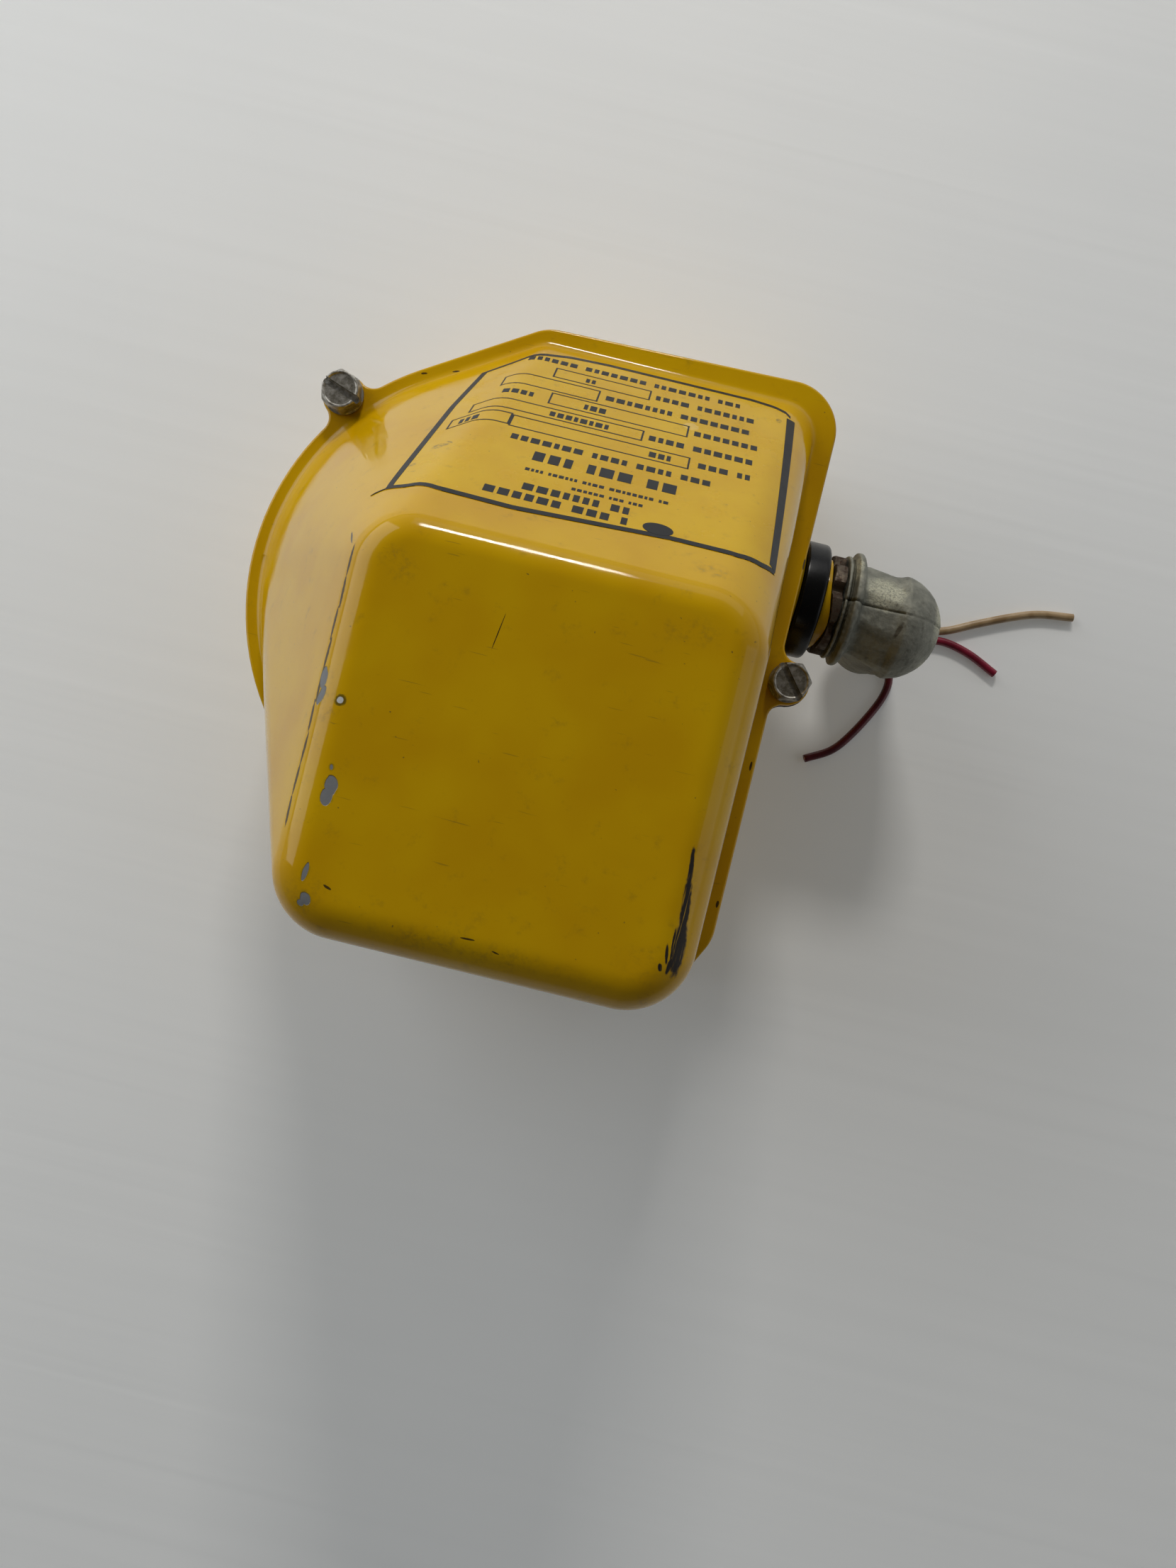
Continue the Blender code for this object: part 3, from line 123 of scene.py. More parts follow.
class Shader:
    """One material's node tree, with short calls that add and wire its nodes. Lengths are in millimetres."""

    def __init__(self, name):
        self.material = bpy.data.materials.new(name)
        self.material.use_nodes = True
        self.tree = self.material.node_tree
        self.surface = self.tree.nodes["Principled BSDF"]
        self.place = self.node("TexCoord").outputs["Object"]

    def node(self, kind, inputs=None, **settings):
        made = self.tree.nodes.new(f"ShaderNode{kind}")
        for key, value in settings.items():
            setattr(made, key, value)
        for key, value in (inputs or {}).items():
            self.feed(made.inputs[key], value)
        return made

    def feed(self, socket, value):
        if isinstance(value, bpy.types.NodeSocket):
            self.tree.links.new(value, socket)
        elif socket.type == "RGBA":
            socket.default_value = (*value, 1)
        else:
            socket.default_value = value

    def math(self, operation, a, b=0.0, c=0.0):
        return self.node("Math", {0: a, 1: b, 2: c}, operation=operation).outputs[0]

    def mapped(self, scale, turn=0, **settings):
        """The place, turned about Z by that many degrees and scaled per axis."""
        inputs = {"Vector": self.place, "Rotation": (0, 0, math.radians(turn)), "Scale": scale}
        return self.node("Mapping", inputs, **settings)

    def noise(self, grain, detail, rough=0.5, place=None):
        """Noise from 0 to 1 whose features are about grain millimetres across."""
        scale = 1 / (grain * MM)
        inputs = {"Vector": place or self.place, "Scale": scale, "Detail": detail, "Roughness": rough}
        return self.node("TexNoise", inputs).outputs["Fac"]

    def streaks(self, grain, detail, scale, turn=0, rough=0.5):
        """Noise that is drawn out along an axis."""
        return self.noise(grain, detail, rough, self.mapped(scale, turn).outputs[0])

    def step(self, value, low, high):
        """0 below low, 1 above high, and smooth between; low may be above high."""
        inputs = {"Value": value, "From Min": low, "From Max": high}
        return self.node("MapRange", inputs, interpolation_type="SMOOTHSTEP").outputs[0]

    def mix(self, share, a, b):
        """From colour a to colour b."""
        return self.node("Mix", {0: share, 6: a, 7: b}, data_type="RGBA").outputs[2]

    def lerp(self, share, a, b):
        """From value a to value b."""
        return self.node("Mix", {0: share, 2: a, 3: b}, data_type="FLOAT").outputs[0]

    def size(self, vector):
        return self.node("VectorMath", {0: vector}, operation="LENGTH").outputs["Value"]

    def tint(self, colour, mask, strength, tone):
        """The colour with the tone laid over it where the mask is."""
        return self.mix(self.math("MULTIPLY", mask, strength), colour, tone)

    def blob(self, centre, radii, turn=0, ragged=0.3, grain=1.2, soft=0.15):
        """A ragged ellipsoid's mask."""
        mapped = self.mapped([r * MM for r in radii], turn, vector_type="TEXTURE")
        mapped.inputs["Location"].default_value = [c * MM for c in centre]
        reach = self.math("SUBTRACT", self.size(mapped.outputs[0]), ragged)
        rough = self.math("MULTIPLY_ADD", self.noise(grain, 4), 2 * ragged, reach)
        return self.step(rough, 1.0, 1.0 - soft)

    def blobs(self, spots, **settings):
        """The mask of several blobs, each given as what blob() takes."""
        masks = [self.blob(*spot, **settings) for spot in spots]
        found = masks[0]
        for mask in masks[1:]:
            found = self.math("MAXIMUM", found, mask)
        return found

    def bump(self, height, distance):
        """A bump of that height in millimetres."""
        return self.node("Bump", {"Height": height, "Distance": distance * MM, "Strength": 1.0}).outputs[0]

    def finish(self, colour, roughness, metallic=0.0, normal=None, **constants):
        for key, value in (("Base Color", colour), ("Roughness", roughness), ("Metallic", metallic)):
            self.feed(self.surface.inputs[key], value)
        if normal is not None:
            self.feed(self.surface.inputs["Normal"], normal)
        for key, value in constants.items():
            self.surface.inputs[key.replace("_", " ")].default_value = value
        return self.material


YELLOW = (0.64, 0.375, 0.0015)
YELLOW_DEEP = (0.58, 0.315, 0.001)
DIRT = (0.10, 0.075, 0.02)
PRIMER = (0.17, 0.175, 0.18)
PRIMER_LIGHT = (0.24, 0.245, 0.25)
CHIP_EDGE = (0.20, 0.17, 0.01)
SCUFF = (0.018, 0.013, 0.009)


def paint(name, chips=(), marks=(), scuffs=(), grime=(), bare=()):
    """Glossy enamel with orange peel; where given, chips to the primer or to bare metal, marks and grime."""
    s = Shader(name)
    colour = s.mix(s.step(s.noise(22, 2), 0.3, 0.7), YELLOW, YELLOW_DEEP)
    colour = s.tint(colour, s.step(s.noise(5, 8, 0.7), 0.56, 0.8), 0.35, DIRT)
    colour = s.tint(colour, s.step(s.noise(1.1, 1), 0.79, 0.83), 0.75, DIRT)
    colour = s.tint(colour, s.step(s.streaks(0.5, 1, (0.06, 1, 1), 37), 0.74, 0.8), 0.35, DIRT)
    roughness = s.lerp(s.step(s.noise(9, 5), 0.35, 0.75), 0.06, 0.16)
    relief = s.math("MULTIPLY", s.noise(2.2, 2), 0.012)
    if grime:
        ragged = s.step(s.noise(1.7, 8, 0.75), 0.44, 0.72)
        mask = s.math("MULTIPLY", s.blobs(grime, ragged=0.5, grain=6, soft=0.8), ragged)
        colour = s.tint(colour, mask, 0.55, DIRT)
        roughness = s.lerp(mask, roughness, 0.45)
    if marks:
        colour = s.tint(colour, s.blobs(marks, ragged=0.35, grain=0.9), 0.9, SCUFF)
    if scuffs:
        streak = s.step(s.streaks(0.4, 3, (1, 0.05, 0.3), 5.5), 0.28, 0.46)
        mask = s.math("MULTIPLY", s.blobs(scuffs, ragged=0.3, grain=1.4, soft=0.35), streak)
        colour = s.mix(mask, colour, SCUFF)
        roughness = s.lerp(mask, roughness, 0.5)
    if chips:
        wider = [(centre, [r + 0.45 for r in radii], turn) for centre, radii, turn in chips]
        colour = s.tint(colour, s.blobs(wider, ragged=0.3, grain=1.0, soft=0.5), 0.55, CHIP_EDGE)
        mask = s.blobs(chips, ragged=0.22, grain=1.3, soft=0.1)
        primer = s.mix(s.noise(0.8, 5, 0.7), PRIMER, PRIMER_LIGHT)
        colour = s.mix(mask, colour, primer)
        roughness = s.lerp(mask, roughness, 0.65)
        relief = s.math("MULTIPLY_ADD", mask, -0.12, relief)
    for centre, radii, turn in bare:
        ring = s.blob(centre, [r * 1.9 for r in radii], turn, ragged=0.25, grain=1.0, soft=0.3)
        colour = s.tint(colour, ring, 0.8, (0.055, 0.05, 0.008))
        mask = s.blob(centre, radii, turn, ragged=0.2, grain=0.8, soft=0.2)
        colour = s.mix(mask, colour, (0.55, 0.56, 0.55))
        roughness = s.lerp(mask, roughness, 0.5)
    return s.finish(colour, roughness, normal=s.bump(relief, 1.0), IOR=1.38)


def cover_paint():
    """The cover's paint, with its own chips, crack, scuff and grime, placed in the model's frame."""
    chips = [
        ((-23.4, -30.0, 134.0), (0.95, 2.3, 2.2), 6),
        ((-23.0, -33.5, 134.4), (0.75, 2.2, 2.2), -14),
        ((-16.4, -50.3, 136.8), (1.35, 2.1, 1.2), 8),
        ((-16.8, -52.6, 136.8), (1.25, 1.9, 1.2), 0),
        ((-17.2, -46.8, 136.8), (0.35, 0.6, 0.8), 10),
        ((-17.3, -68.0, 136.8), (0.55, 2.0, 0.9), -6),
        ((-16.1, -73.1, 136.4), (1.1, 1.4, 1.2), 30),
        ((-16.9, -74.2, 136.0), (0.8, 0.7, 1.2), 0),
    ]
    crack = [((-26.2, -0.4, 129.6), (0.32, 3.0, 2.6), 30)]
    for k in range(9):
        wander = 0.12 * math.sin(k * 2.3)
        crack.append(((-24.1 + wander, -6.0 - 6.4 * k, 133.5), (0.32, 3.7, 2.0), 2 * math.sin(k * 1.7)))
    marks = crack + [
        ((16.8, -73.2, 136.7), (1.5, 0.22, 0.8), 3),
        ((22.8, -74.6, 136.5), (0.8, 0.18, 0.8), -12),
        ((-12.4, -69.9, 136.8), (1.0, 0.3, 0.8), -20),
        ((72.6, -23.4, RIM_TOP), (0.35, 1.3, 0.8), 0),
        ((72.7, -60.4, RIM_TOP), (0.4, 1.0, 0.8), 0),
        ((-26.4, 58.2, RIM_TOP), (1.1, 0.3, 0.8), 17),
        ((-34.5, 55.8, RIM_TOP), (0.9, 0.3, 0.8), 17),
        ((73.6, 31.0, RIM_TOP), (0.35, 1.6, 0.8), 0),
        ((8.3, -13.4, 136.8), (0.12, 4.0, 0.8), -8),
    ]
    scuffs = [
        ((56.4, -51.5, 136.2), (0.6, 8.0, 3.0), 6.5),
        ((57.0, -57.5, 135.9), (1.1, 9.0, 3.0), 6.0),
        ((57.6, -65.0, 135.4), (1.7, 7.4, 3.0), 4.0),
        ((56.3, -64.8, 136.1), (0.35, 4.2, 2.0), 4),
        ((55.5, -66.8, 136.3), (0.4, 2.4, 2.0), 10),
        ((56.6, -69.0, 136.0), (0.6, 2.2, 2.0), -6),
        ((54.8, -69.6, 136.4), (0.5, 1.0, 2.0), 20),
    ]
    grime = [
        ((17, -75, 134), (34, 4.5, 5)),
        ((-16, -72, 134), (7, 8, 5)),
        ((52, -70, 134), (8, 7, 5)),
        ((46, -4, 135), (9, 5, 4)),
        ((-14, -5, 136), (5, 5, 3)),
        ((-21, -35, 135), (4, 5, 3)),
        ((47, 10, 131), (6, 3, 6)),
    ]
    bare = [((-18.7, -33.6, 136.7), (0.75, 0.7, 1.0), 20)]
    return paint("cover_enamel", chips, marks, scuffs, grime, bare)


def base_paint():
    """The base's paint, darker low down and round the conduit hub."""
    marks = [((74.2, 12.5, 45.0), (0.6, 1.4, 1.2)), ((74.0, 8.0, 30.0), (0.6, 0.8, 2.2))]
    grime = [
        ((76, 26, 40), (6, 20, 20)),
        ((0, 0, 2), (90, 100, 5)),
        ((-53, 45, 50), (9, 9, 12)),
        ((-32, -75, 50), (9, 9, 12)),
    ]
    chips = [
        ((30.0, -90.4, 6.0), (3.0, 1.5, 1.0), 0),
        ((-40.0, 53.0, 3.0), (1.5, 1.5, 1.2), 40),
        ((-65.9, -4.0, 54.6), (1.0, 2.2, 0.9), 0),
        ((73.0, -70.0, 2.0), (1.6, 2.0, 1.2), 0),
    ]
    return paint("base_enamel", chips, marks, grime=grime)


def washer_paint():
    return paint("washer_enamel", grime=[((83, 40, 39), (2, 4, 9)), ((83, 14, 39), (2, 4, 9))])


def film():
    """The nameplate's printed film: thin, a little duller than the paint, with rubbed ink at its left."""
    s = Shader("nameplate_film")
    colour = s.mix(s.step(s.noise(16, 3), 0.3, 0.75), (0.66, 0.405, 0.006), (0.60, 0.345, 0.004))
    colour = s.tint(colour, s.step(s.noise(3.5, 8, 0.7), 0.56, 0.8), 0.45, DIRT)
    colour = s.tint(colour, s.step(s.noise(0.8, 1), 0.77, 0.82), 0.6, DIRT)
    rubbed = [
        ((-17.4, 27.0, 107.5), (2.2, 0.9, 2.5), 20), ((-15.4, 28.4, 106.4), (1.3, 0.35, 2.0), -20),
        ((-19.6, 24.6, 110.0), (1.9, 0.35, 2.0), 32), ((-21.0, 20.2, 113.2), (1.2, 0.5, 2.0), 35),
        ((-19.5, 18.0, 115.0), (1.0, 0.3, 2.0), 20), ((57.4, 62.5, 70.0), (0.9, 1.4, 2.0), 0),
    ]
    streak = s.step(s.streaks(0.5, 4, (0.4, 1.6, 1), 25, 0.7), 0.4, 0.62)
    mask = s.math("MULTIPLY", s.blobs(rubbed, ragged=0.6, grain=1.2, soft=0.3), streak)
    colour = s.tint(colour, mask, 0.85, (0.03, 0.03, 0.028))
    pale = s.blob((36.0, 52.2, 82.0), (2.0, 1.6, 3.0), ragged=0.5, grain=2)
    colour = s.tint(colour, pale, 0.45, (0.75, 0.55, 0.2))
    relief = s.math("MULTIPLY_ADD", s.noise(1.1, 3), 0.006, s.math("MULTIPLY", s.noise(14, 2), 0.05))
    roughness = s.lerp(s.step(s.noise(6, 5), 0.4, 0.7), 0.16, 0.3)
    return s.finish(colour, roughness, normal=s.bump(relief, 1.0), IOR=1.3)


def ink():
    """The nameplate's dark grey print, worn thin here and there."""
    s = Shader("nameplate_ink")
    worn = s.step(s.noise(1.3, 7, 0.75), 0.6, 0.78)
    colour = s.mix(s.noise(7, 4), (0.010, 0.011, 0.013), (0.021, 0.023, 0.025))
    colour = s.tint(colour, worn, 0.5, (0.16, 0.13, 0.03))
    return s.finish(colour, s.lerp(s.noise(3, 4), 0.3, 0.45), normal=s.bump(s.noise(1.1, 3), 0.006), IOR=1.28)


def gasket_rubber():
    s = Shader("gasket_rubber")
    colour = s.mix(s.noise(2.5, 6, 0.7), (0.012, 0.011, 0.009), (0.045, 0.035, 0.02))
    return s.finish(colour, 0.8, normal=s.bump(s.noise(1.0, 5), 0.12))


def glossy_rubber():
    """The seal ring's moulded rubber, with dust caught on its edges."""
    s = Shader("seal_rubber")
    dust = s.step(s.noise(1.6, 7, 0.75), 0.58, 0.8)
    colour = s.mix(s.math("MULTIPLY", dust, 0.25), (0.003, 0.003, 0.003), (0.04, 0.032, 0.02))
    roughness = s.lerp(dust, 0.26, 0.6)
    return s.finish(colour, roughness, normal=s.bump(s.noise(3.0, 4), 0.05), IOR=1.36)


def rust():
    """A plated steel nut that has rusted brown."""
    s = Shader("rusty_nut")
    patches = s.step(s.noise(2.4, 6, 0.7), 0.4, 0.62)
    colour = s.mix(patches, (0.11, 0.085, 0.06), (0.045, 0.02, 0.008))
    spots = s.step(s.noise(0.7, 4, 0.6), 0.6, 0.7)
    colour = s.tint(colour, spots, 0.6, (0.13, 0.05, 0.015))
    metallic = s.lerp(patches, 0.7, 0.1)
    return s.finish(colour, s.lerp(patches, 0.42, 0.85), metallic, s.bump(s.noise(0.8, 6, 0.7), 0.12))


def cast_zinc():
    """Rough die-cast zinc: bright sugary patches on the flats, duller on the dome; painted shade in its
    groove and where the dome begins.
    """
    s = Shader("cast_zinc")
    grainy = s.noise(0.55, 6, 0.75)
    cloud = s.noise(5.0, 5, 0.65)
    colour = s.mix(s.step(cloud, 0.3, 0.7), (0.18, 0.182, 0.15), (0.32, 0.32, 0.265))
    bright = s.blobs([
        ((98.0, 31.0, 51.0), (6.8, 6.4, 6.0), 0, 0.3, 2.0, 0.5),
        ((114.6, 28.0, 44.5), (2.6, 9.5, 9.0), 0, 0.3, 2.5, 0.6),
        ((112.0, 17.0, 40.0), (3.5, 3.5, 8.0), 0, 0.4, 2.5, 0.6),
        ((89.5, 36.0, 50.0), (1.6, 6.0, 6.0), 0, 0.5, 2.0, 0.6),
    ])
    sugar = s.math("MULTIPLY", bright, s.step(grainy, 0.34, 0.60))
    colour = s.mix(sugar, colour, (0.58, 0.57, 0.43))
    grime = s.step(s.noise(3.2, 7, 0.7), 0.52, 0.74)
    colour = s.tint(colour, grime, 0.55, (0.05, 0.042, 0.028))
    # Painted shade: the groove in the shoulder is darkened where shade falls into it.
    groove_shade = s.blob((88.7, 26.1, 39.8), (0.5, 30, 30), ragged=0.2, grain=2)
    colour = s.tint(colour, groove_shade, 0.8, (0.035, 0.03, 0.012))
    # Painted shadow: a dark crescent on the body's flat where it meets the dome.
    dome_edge_shadow = s.blob((103.3, 21.6, 53.0), (0.8, 3.0, 2.5), -18, 0.3, 1.5, 0.5)
    colour = s.tint(colour, dome_edge_shadow, 0.75, (0.045, 0.035, 0.02))
    relief = s.math("MULTIPLY_ADD", grainy, 0.10, s.math("MULTIPLY", cloud, 0.25))
    metallic = s.lerp(sugar, 0.45, 0.25)
    return s.finish(colour, s.lerp(cloud, 0.5, 0.68), metallic, s.bump(relief, 1.0))


def screw_steel():
    """A cover screw's head: dark dirty middle, bright worn rim and corners. The place is the screw's own."""
    s = Shader("screw_steel")
    flat = s.node("VectorMath", {0: s.place, 1: (1, 1, 0)}, operation="MULTIPLY").outputs[0]
    wobble = s.math("MULTIPLY_ADD", s.noise(2.0, 4), 0.8 * MM, s.size(flat))
    lip = s.math("MULTIPLY", s.step(wobble, 4.4 * MM, 4.6 * MM), s.step(wobble, 5.2 * MM, 5.0 * MM))
    rim = s.math("MULTIPLY", lip, s.step(s.noise(1.6, 5, 0.7), 0.38, 0.62))
    cloud = s.noise(1.8, 7, 0.7)
    colour = s.mix(s.step(cloud, 0.35, 0.68), (0.17, 0.155, 0.12), (0.42, 0.40, 0.36))
    colour = s.mix(rim, colour, (0.62, 0.60, 0.55))
    scratches = s.step(s.streaks(0.35, 2, (0.08, 1, 1), 64), 0.62, 0.72)
    colour = s.tint(colour, scratches, 0.5, (0.5, 0.48, 0.44))
    dirt = s.step(s.noise(1.0, 6, 0.75), 0.56, 0.72)
    colour = s.tint(colour, dirt, 0.7, (0.03, 0.024, 0.016))
    roughness = s.lerp(cloud, 0.24, 0.5)
    return s.finish(colour, s.lerp(dirt, roughness, 0.75), s.lerp(dirt, 0.75, 0.3), s.bump(cloud, 0.05))


def metal(name, dark, light, rough, grain=3.0, brushed=(1, 1, 1)):
    """Machined or plated metal with faint marks."""
    s = Shader(name)
    cloud = s.noise(grain, 6, 0.65)
    lines = s.streaks(0.4, 3, brushed)
    colour = s.mix(s.step(cloud, 0.3, 0.72), dark, light)
    colour = s.tint(colour, s.step(lines, 0.6, 0.75), 0.3, [0.5 * c for c in dark])
    roughness = s.lerp(cloud, rough - 0.08, rough + 0.12)
    relief = s.math("MULTIPLY_ADD", lines, 0.01, s.math("MULTIPLY", cloud, 0.02))
    return s.finish(colour, roughness, 1.0, s.bump(relief, 1.0))


def plastic(name, colour, rough):
    """Moulded plastic with a fine texture and handling marks."""
    s = Shader(name)
    shade = s.mix(s.noise(6, 5), colour, [min(1.0, c * 1.3 + 0.004) for c in colour])
    rubbed = s.step(s.noise(2.5, 7, 0.7), 0.58, 0.76)
    shade = s.tint(shade, rubbed, 0.25, [min(1.0, c * 1.8 + 0.02) for c in colour])
    return s.finish(shade, s.lerp(rubbed, rough, rough + 0.2), normal=s.bump(s.noise(0.5, 3), 0.02))


def insulation(name, colour, dark):
    """A lead's plastic insulation, with grime along it."""
    s = Shader(name)
    shade = s.mix(s.step(s.noise(4.5, 4), 0.35, 0.7), colour, dark)
    grime = s.step(s.noise(1.5, 7, 0.75), 0.6, 0.76)
    shade = s.tint(shade, grime, 0.5, [0.3 * c for c in dark])
    return s.finish(shade, s.lerp(grime, 0.32, 0.6), normal=s.bump(s.noise(1.2, 3), 0.03), Coat_Weight=0.2)


STEEL = metal("plated_steel", (0.28, 0.275, 0.26), (0.5, 0.49, 0.47), 0.36, 3.0, (1, 0.1, 1))
BRASS = metal("machined_brass", (0.42, 0.29, 0.09), (0.62, 0.45, 0.17), 0.32, 3.0, (0.2, 1, 1))
BRONZE = metal("sintered_bronze", (0.26, 0.14, 0.05), (0.40, 0.23, 0.09), 0.5, 1.2)
CAN = metal("drawn_can", (0.32, 0.32, 0.33), (0.5, 0.5, 0.52), 0.38, 5.0, (1, 1, 0.08))
BLACK = plastic("black_moulding", (0.014, 0.014, 0.015), 0.42)
GREY = plastic("grey_moulding", (0.26, 0.26, 0.26), 0.45)
WHITE = plastic("white_moulding", (0.62, 0.60, 0.54), 0.4)
CAD_FINISHES = {
    "steel": STEEL, "brass": BRASS, "bronze": BRONZE, "capacitor_can": CAN,
    "black_plastic": BLACK, "grey_plastic": GREY, "white_plastic": WHITE,
}


def finish_cad_nodes():
    """Gives each CAD node that stays in view its material."""
    for part in frame["record"]["subparts"]:
        material = CAD_FINISHES.get(part["material_slot"])
        if material is not None:
            node = frame["nodes"][part["node"]]
            node.data.materials.clear()
            node.data.materials.append(material)


# ---- meshes

def mesh_piece(name, vertices, faces, material, origin=(0, 0, 0)):
    """An object from points in millimetres, with its origin at the given point."""
    mesh = bpy.data.meshes.new(name)
    start = Vector(origin)
    mesh.from_pydata([(Vector(v) - start) * MM for v in vertices], [], faces)
    tidy = bmesh.new()
    tidy.from_mesh(mesh)
    piece = piece_from(name, mesh, tidy, material)
    piece.location = start * MM
    return piece


def piece_from(name, mesh, tidy, material, sharp=30, weld=True):
    """An object whose mesh takes the shape of the bmesh, which is used up."""
    if weld:
        bmesh.ops.remove_doubles(tidy, verts=tidy.verts, dist=SAME)
        bmesh.ops.recalc_face_normals(tidy, faces=tidy.faces)
    tidy.to_mesh(mesh)
    tidy.free()
    piece = linked(bpy.data.objects.new(name, mesh))
    smooth(piece, sharp)
    mesh.materials.append(material)
    return piece


def linked(thing):
    bpy.context.scene.collection.objects.link(thing)
    return thing


def smooth(piece, sharp=30):
    piece.data.shade_smooth()
    piece.data.set_sharp_from_angle(angle=math.radians(sharp))


def place(piece, slot, *nodes):
    """Puts a finished piece on the housing, in place of its CAD nodes. The slot is not used."""
    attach(piece, BODY)
    if nodes:
        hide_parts(*nodes)


def loft(name, loops, material, ring=False, origin=(0, 0, 0)):
    """A skin through loops that all have the same number of points: a capped solid, or a closed ring."""
    if ring:
        loops = loops + [loops[0]]
    count = len(loops[0])
    vertices = [point for loop in loops for point in loop]
    faces = []
    for k in range(len(loops) - 1):
        a, b = k * count, (k + 1) * count
        faces += [[a + i, a + (i + 1) % count, b + (i + 1) % count, b + i] for i in range(count)]
    if not ring:
        faces.append(list(range(count))[::-1])
        faces.append(list(range(len(vertices) - count, len(vertices))))
    return mesh_piece(name, vertices, faces, material, origin)


def full_turn(count):
    return [2 * math.pi * i / count for i in range(count)]


def turned(profile, sides, centre, axis="Z"):
    """Rings of points from a profile of (radius, height), turned about an axis through the centre."""
    matrix = {"X": Matrix.Rotation(math.pi / 2, 3, "Y"), "Z": Matrix.Identity(3)}[axis]
    middle = Vector(centre)
    rings = []
    for radius, height in profile:
        rings.append([matrix @ Vector((radius * math.cos(a), radius * math.sin(a), height)) + middle
                      for a in full_turn(sides)])
    return rings


def spun(profile, material, centre, sides, axis="Z"):
    """A turned solid, to join to a piece or to cut from it; its profile starts and ends on the axis."""
    return loft("spun", turned(profile, sides, centre, axis), material)


def rounded(corners, radius, steps=5):
    """The profile's corners, each rounded off; one is (radius, height) or (radius, height, rounding)."""
    points = []
    count = len(corners)
    for i, corner in enumerate(corners):
        here = Vector(corner[:2])
        size = corner[2] if len(corner) > 2 else radius
        before = (Vector(corners[i - 1][:2]) - here).normalized()
        after = (Vector(corners[(i + 1) % count][:2]) - here).normalized()
        if size <= 0:
            points.append(tuple(here))
            continue
        for k in range(steps + 1):
            t = k / steps
            points.append(tuple(here + before * size * (1 - t) ** 2 + after * size * t**2))
    return points


def boolean(piece, other, operation="DIFFERENCE"):
    """Applies a Boolean and deletes the other shape."""
    modifier = piece.modifiers.new("cut", "BOOLEAN")
    modifier.operation = operation
    modifier.solver = "MANIFOLD"
    modifier.object = other
    settle(piece)
    bpy.data.objects.remove(other)
    return piece


def settle(piece):
    """Turns a piece's modifiers into its mesh."""
    evaluated = piece.evaluated_get(bpy.context.evaluated_depsgraph_get())
    mesh = bpy.data.meshes.new_from_object(evaluated)
    piece.modifiers.clear()
    piece.data = mesh


def apply_modifier(piece, kind, **settings):
    modifier = piece.modifiers.new(kind.lower(), kind)
    for key, value in settings.items():
        setattr(modifier, key, value)
    settle(piece)


# ---- outlines

def spans(circles):
    """Each circle of a hull with the outward directions (start, end) over which the hull follows it."""
    def tangent(a, b):
        run = math.atan2(b[1] - a[1], b[0] - a[0])
        return run - math.acos((a[2] - b[2]) / math.hypot(b[0] - a[0], b[1] - a[1]))

    found = []
    for i, circle in enumerate(circles):
        start = tangent(circles[i - 1], circle)
        end = tangent(circle, circles[(i + 1) % len(circles)])
        while end < start:
            end += 2 * math.pi
        while end - start > 2 * math.pi:
            end -= 2 * math.pi
        found.append((start, end, circle))
    return found


def arc(centre, radius, start, end, step):
    count = max(1, math.ceil(abs(math.degrees(end - start)) / step))
    angles = [start + (end - start) * i / count for i in range(count + 1)]
    return [(centre[0] + radius * math.cos(a), centre[1] + radius * math.sin(a)) for a in angles]


def outline(circles, offset=0.0):
    """The hull of the circles, grown by the offset."""
    points = []
    for start, end, (x, y, radius) in spans(circles):
        points += arc((x, y), radius + offset, start, end, FINE_STEP)
    return points


def unwrapped(angle, near):
    return near + (angle - near + math.pi) % (2 * math.pi) - math.pi


def ear_bump(ear):
    """The outline round one ear, with a hollow fillet on each side, running anticlockwise."""
    reach_out = EAR_RADIUS + EAR_FILLET
    outward = math.atan2(ear[1], ear[0])
    if ear == EARS[0]:
        reach = RIM_CIRCLES[0][2] + EAR_FILLET
        distance = math.hypot(*ear)
        swing = math.acos((reach**2 + distance**2 - reach_out**2) / (2 * reach * distance))
        ways = (outward - swing, outward + swing)
        centres = [(reach * math.cos(way), reach * math.sin(way)) for way in ways]
        edges = [way + math.pi for way in ways]
    else:
        normal = 0.0 if ear == EARS[1] else spans(RIM_CIRCLES)[0][1]
        nx, ny = math.cos(normal), math.sin(normal)
        line = RIM_CIRCLES[4][0] + RIM_CIRCLES[4][2] if ear == EARS[1] else RIM_CIRCLES[0][2]
        rise = line + EAR_FILLET - (ear[0] * nx + ear[1] * ny)
        slide = math.sqrt(reach_out**2 - rise**2)
        centres = [(ear[0] + rise * nx - s * ny, ear[1] + rise * ny + s * nx) for s in (-slide, slide)]
        edges = [normal + math.pi, normal + math.pi]
    to_ear = [math.atan2(ear[1] - c[1], ear[0] - c[0]) for c in centres]
    first, last = to_ear[0] + math.pi, to_ear[1] + math.pi
    while last < first:
        last += 2 * math.pi
    while last > first + 2 * math.pi:
        last -= 2 * math.pi
    points = arc(centres[0], EAR_FILLET, edges[0], unwrapped(to_ear[0], edges[0]), 6)
    points += arc(ear, EAR_RADIUS, first, last, 5)
    points += arc(centres[1], EAR_FILLET, to_ear[1], unwrapped(edges[1], to_ear[1]), 6)
    return points


def nearest_edge(points, place_at):
    """The index of the outline's edge that passes closest to a point."""
    best = None
    for i, point in enumerate(points):
        a, b = Vector(point), Vector(points[(i + 1) % len(points)])
        if (b - a).length > 1e-6:
            share = max(0.0, min(1.0, (place_at - a).dot(b - a) / (b - a).length_squared))
            miss = (a.lerp(b, share) - place_at).length
            if best is None or miss < best[0]:
                best = (miss, i)
    return best[1]


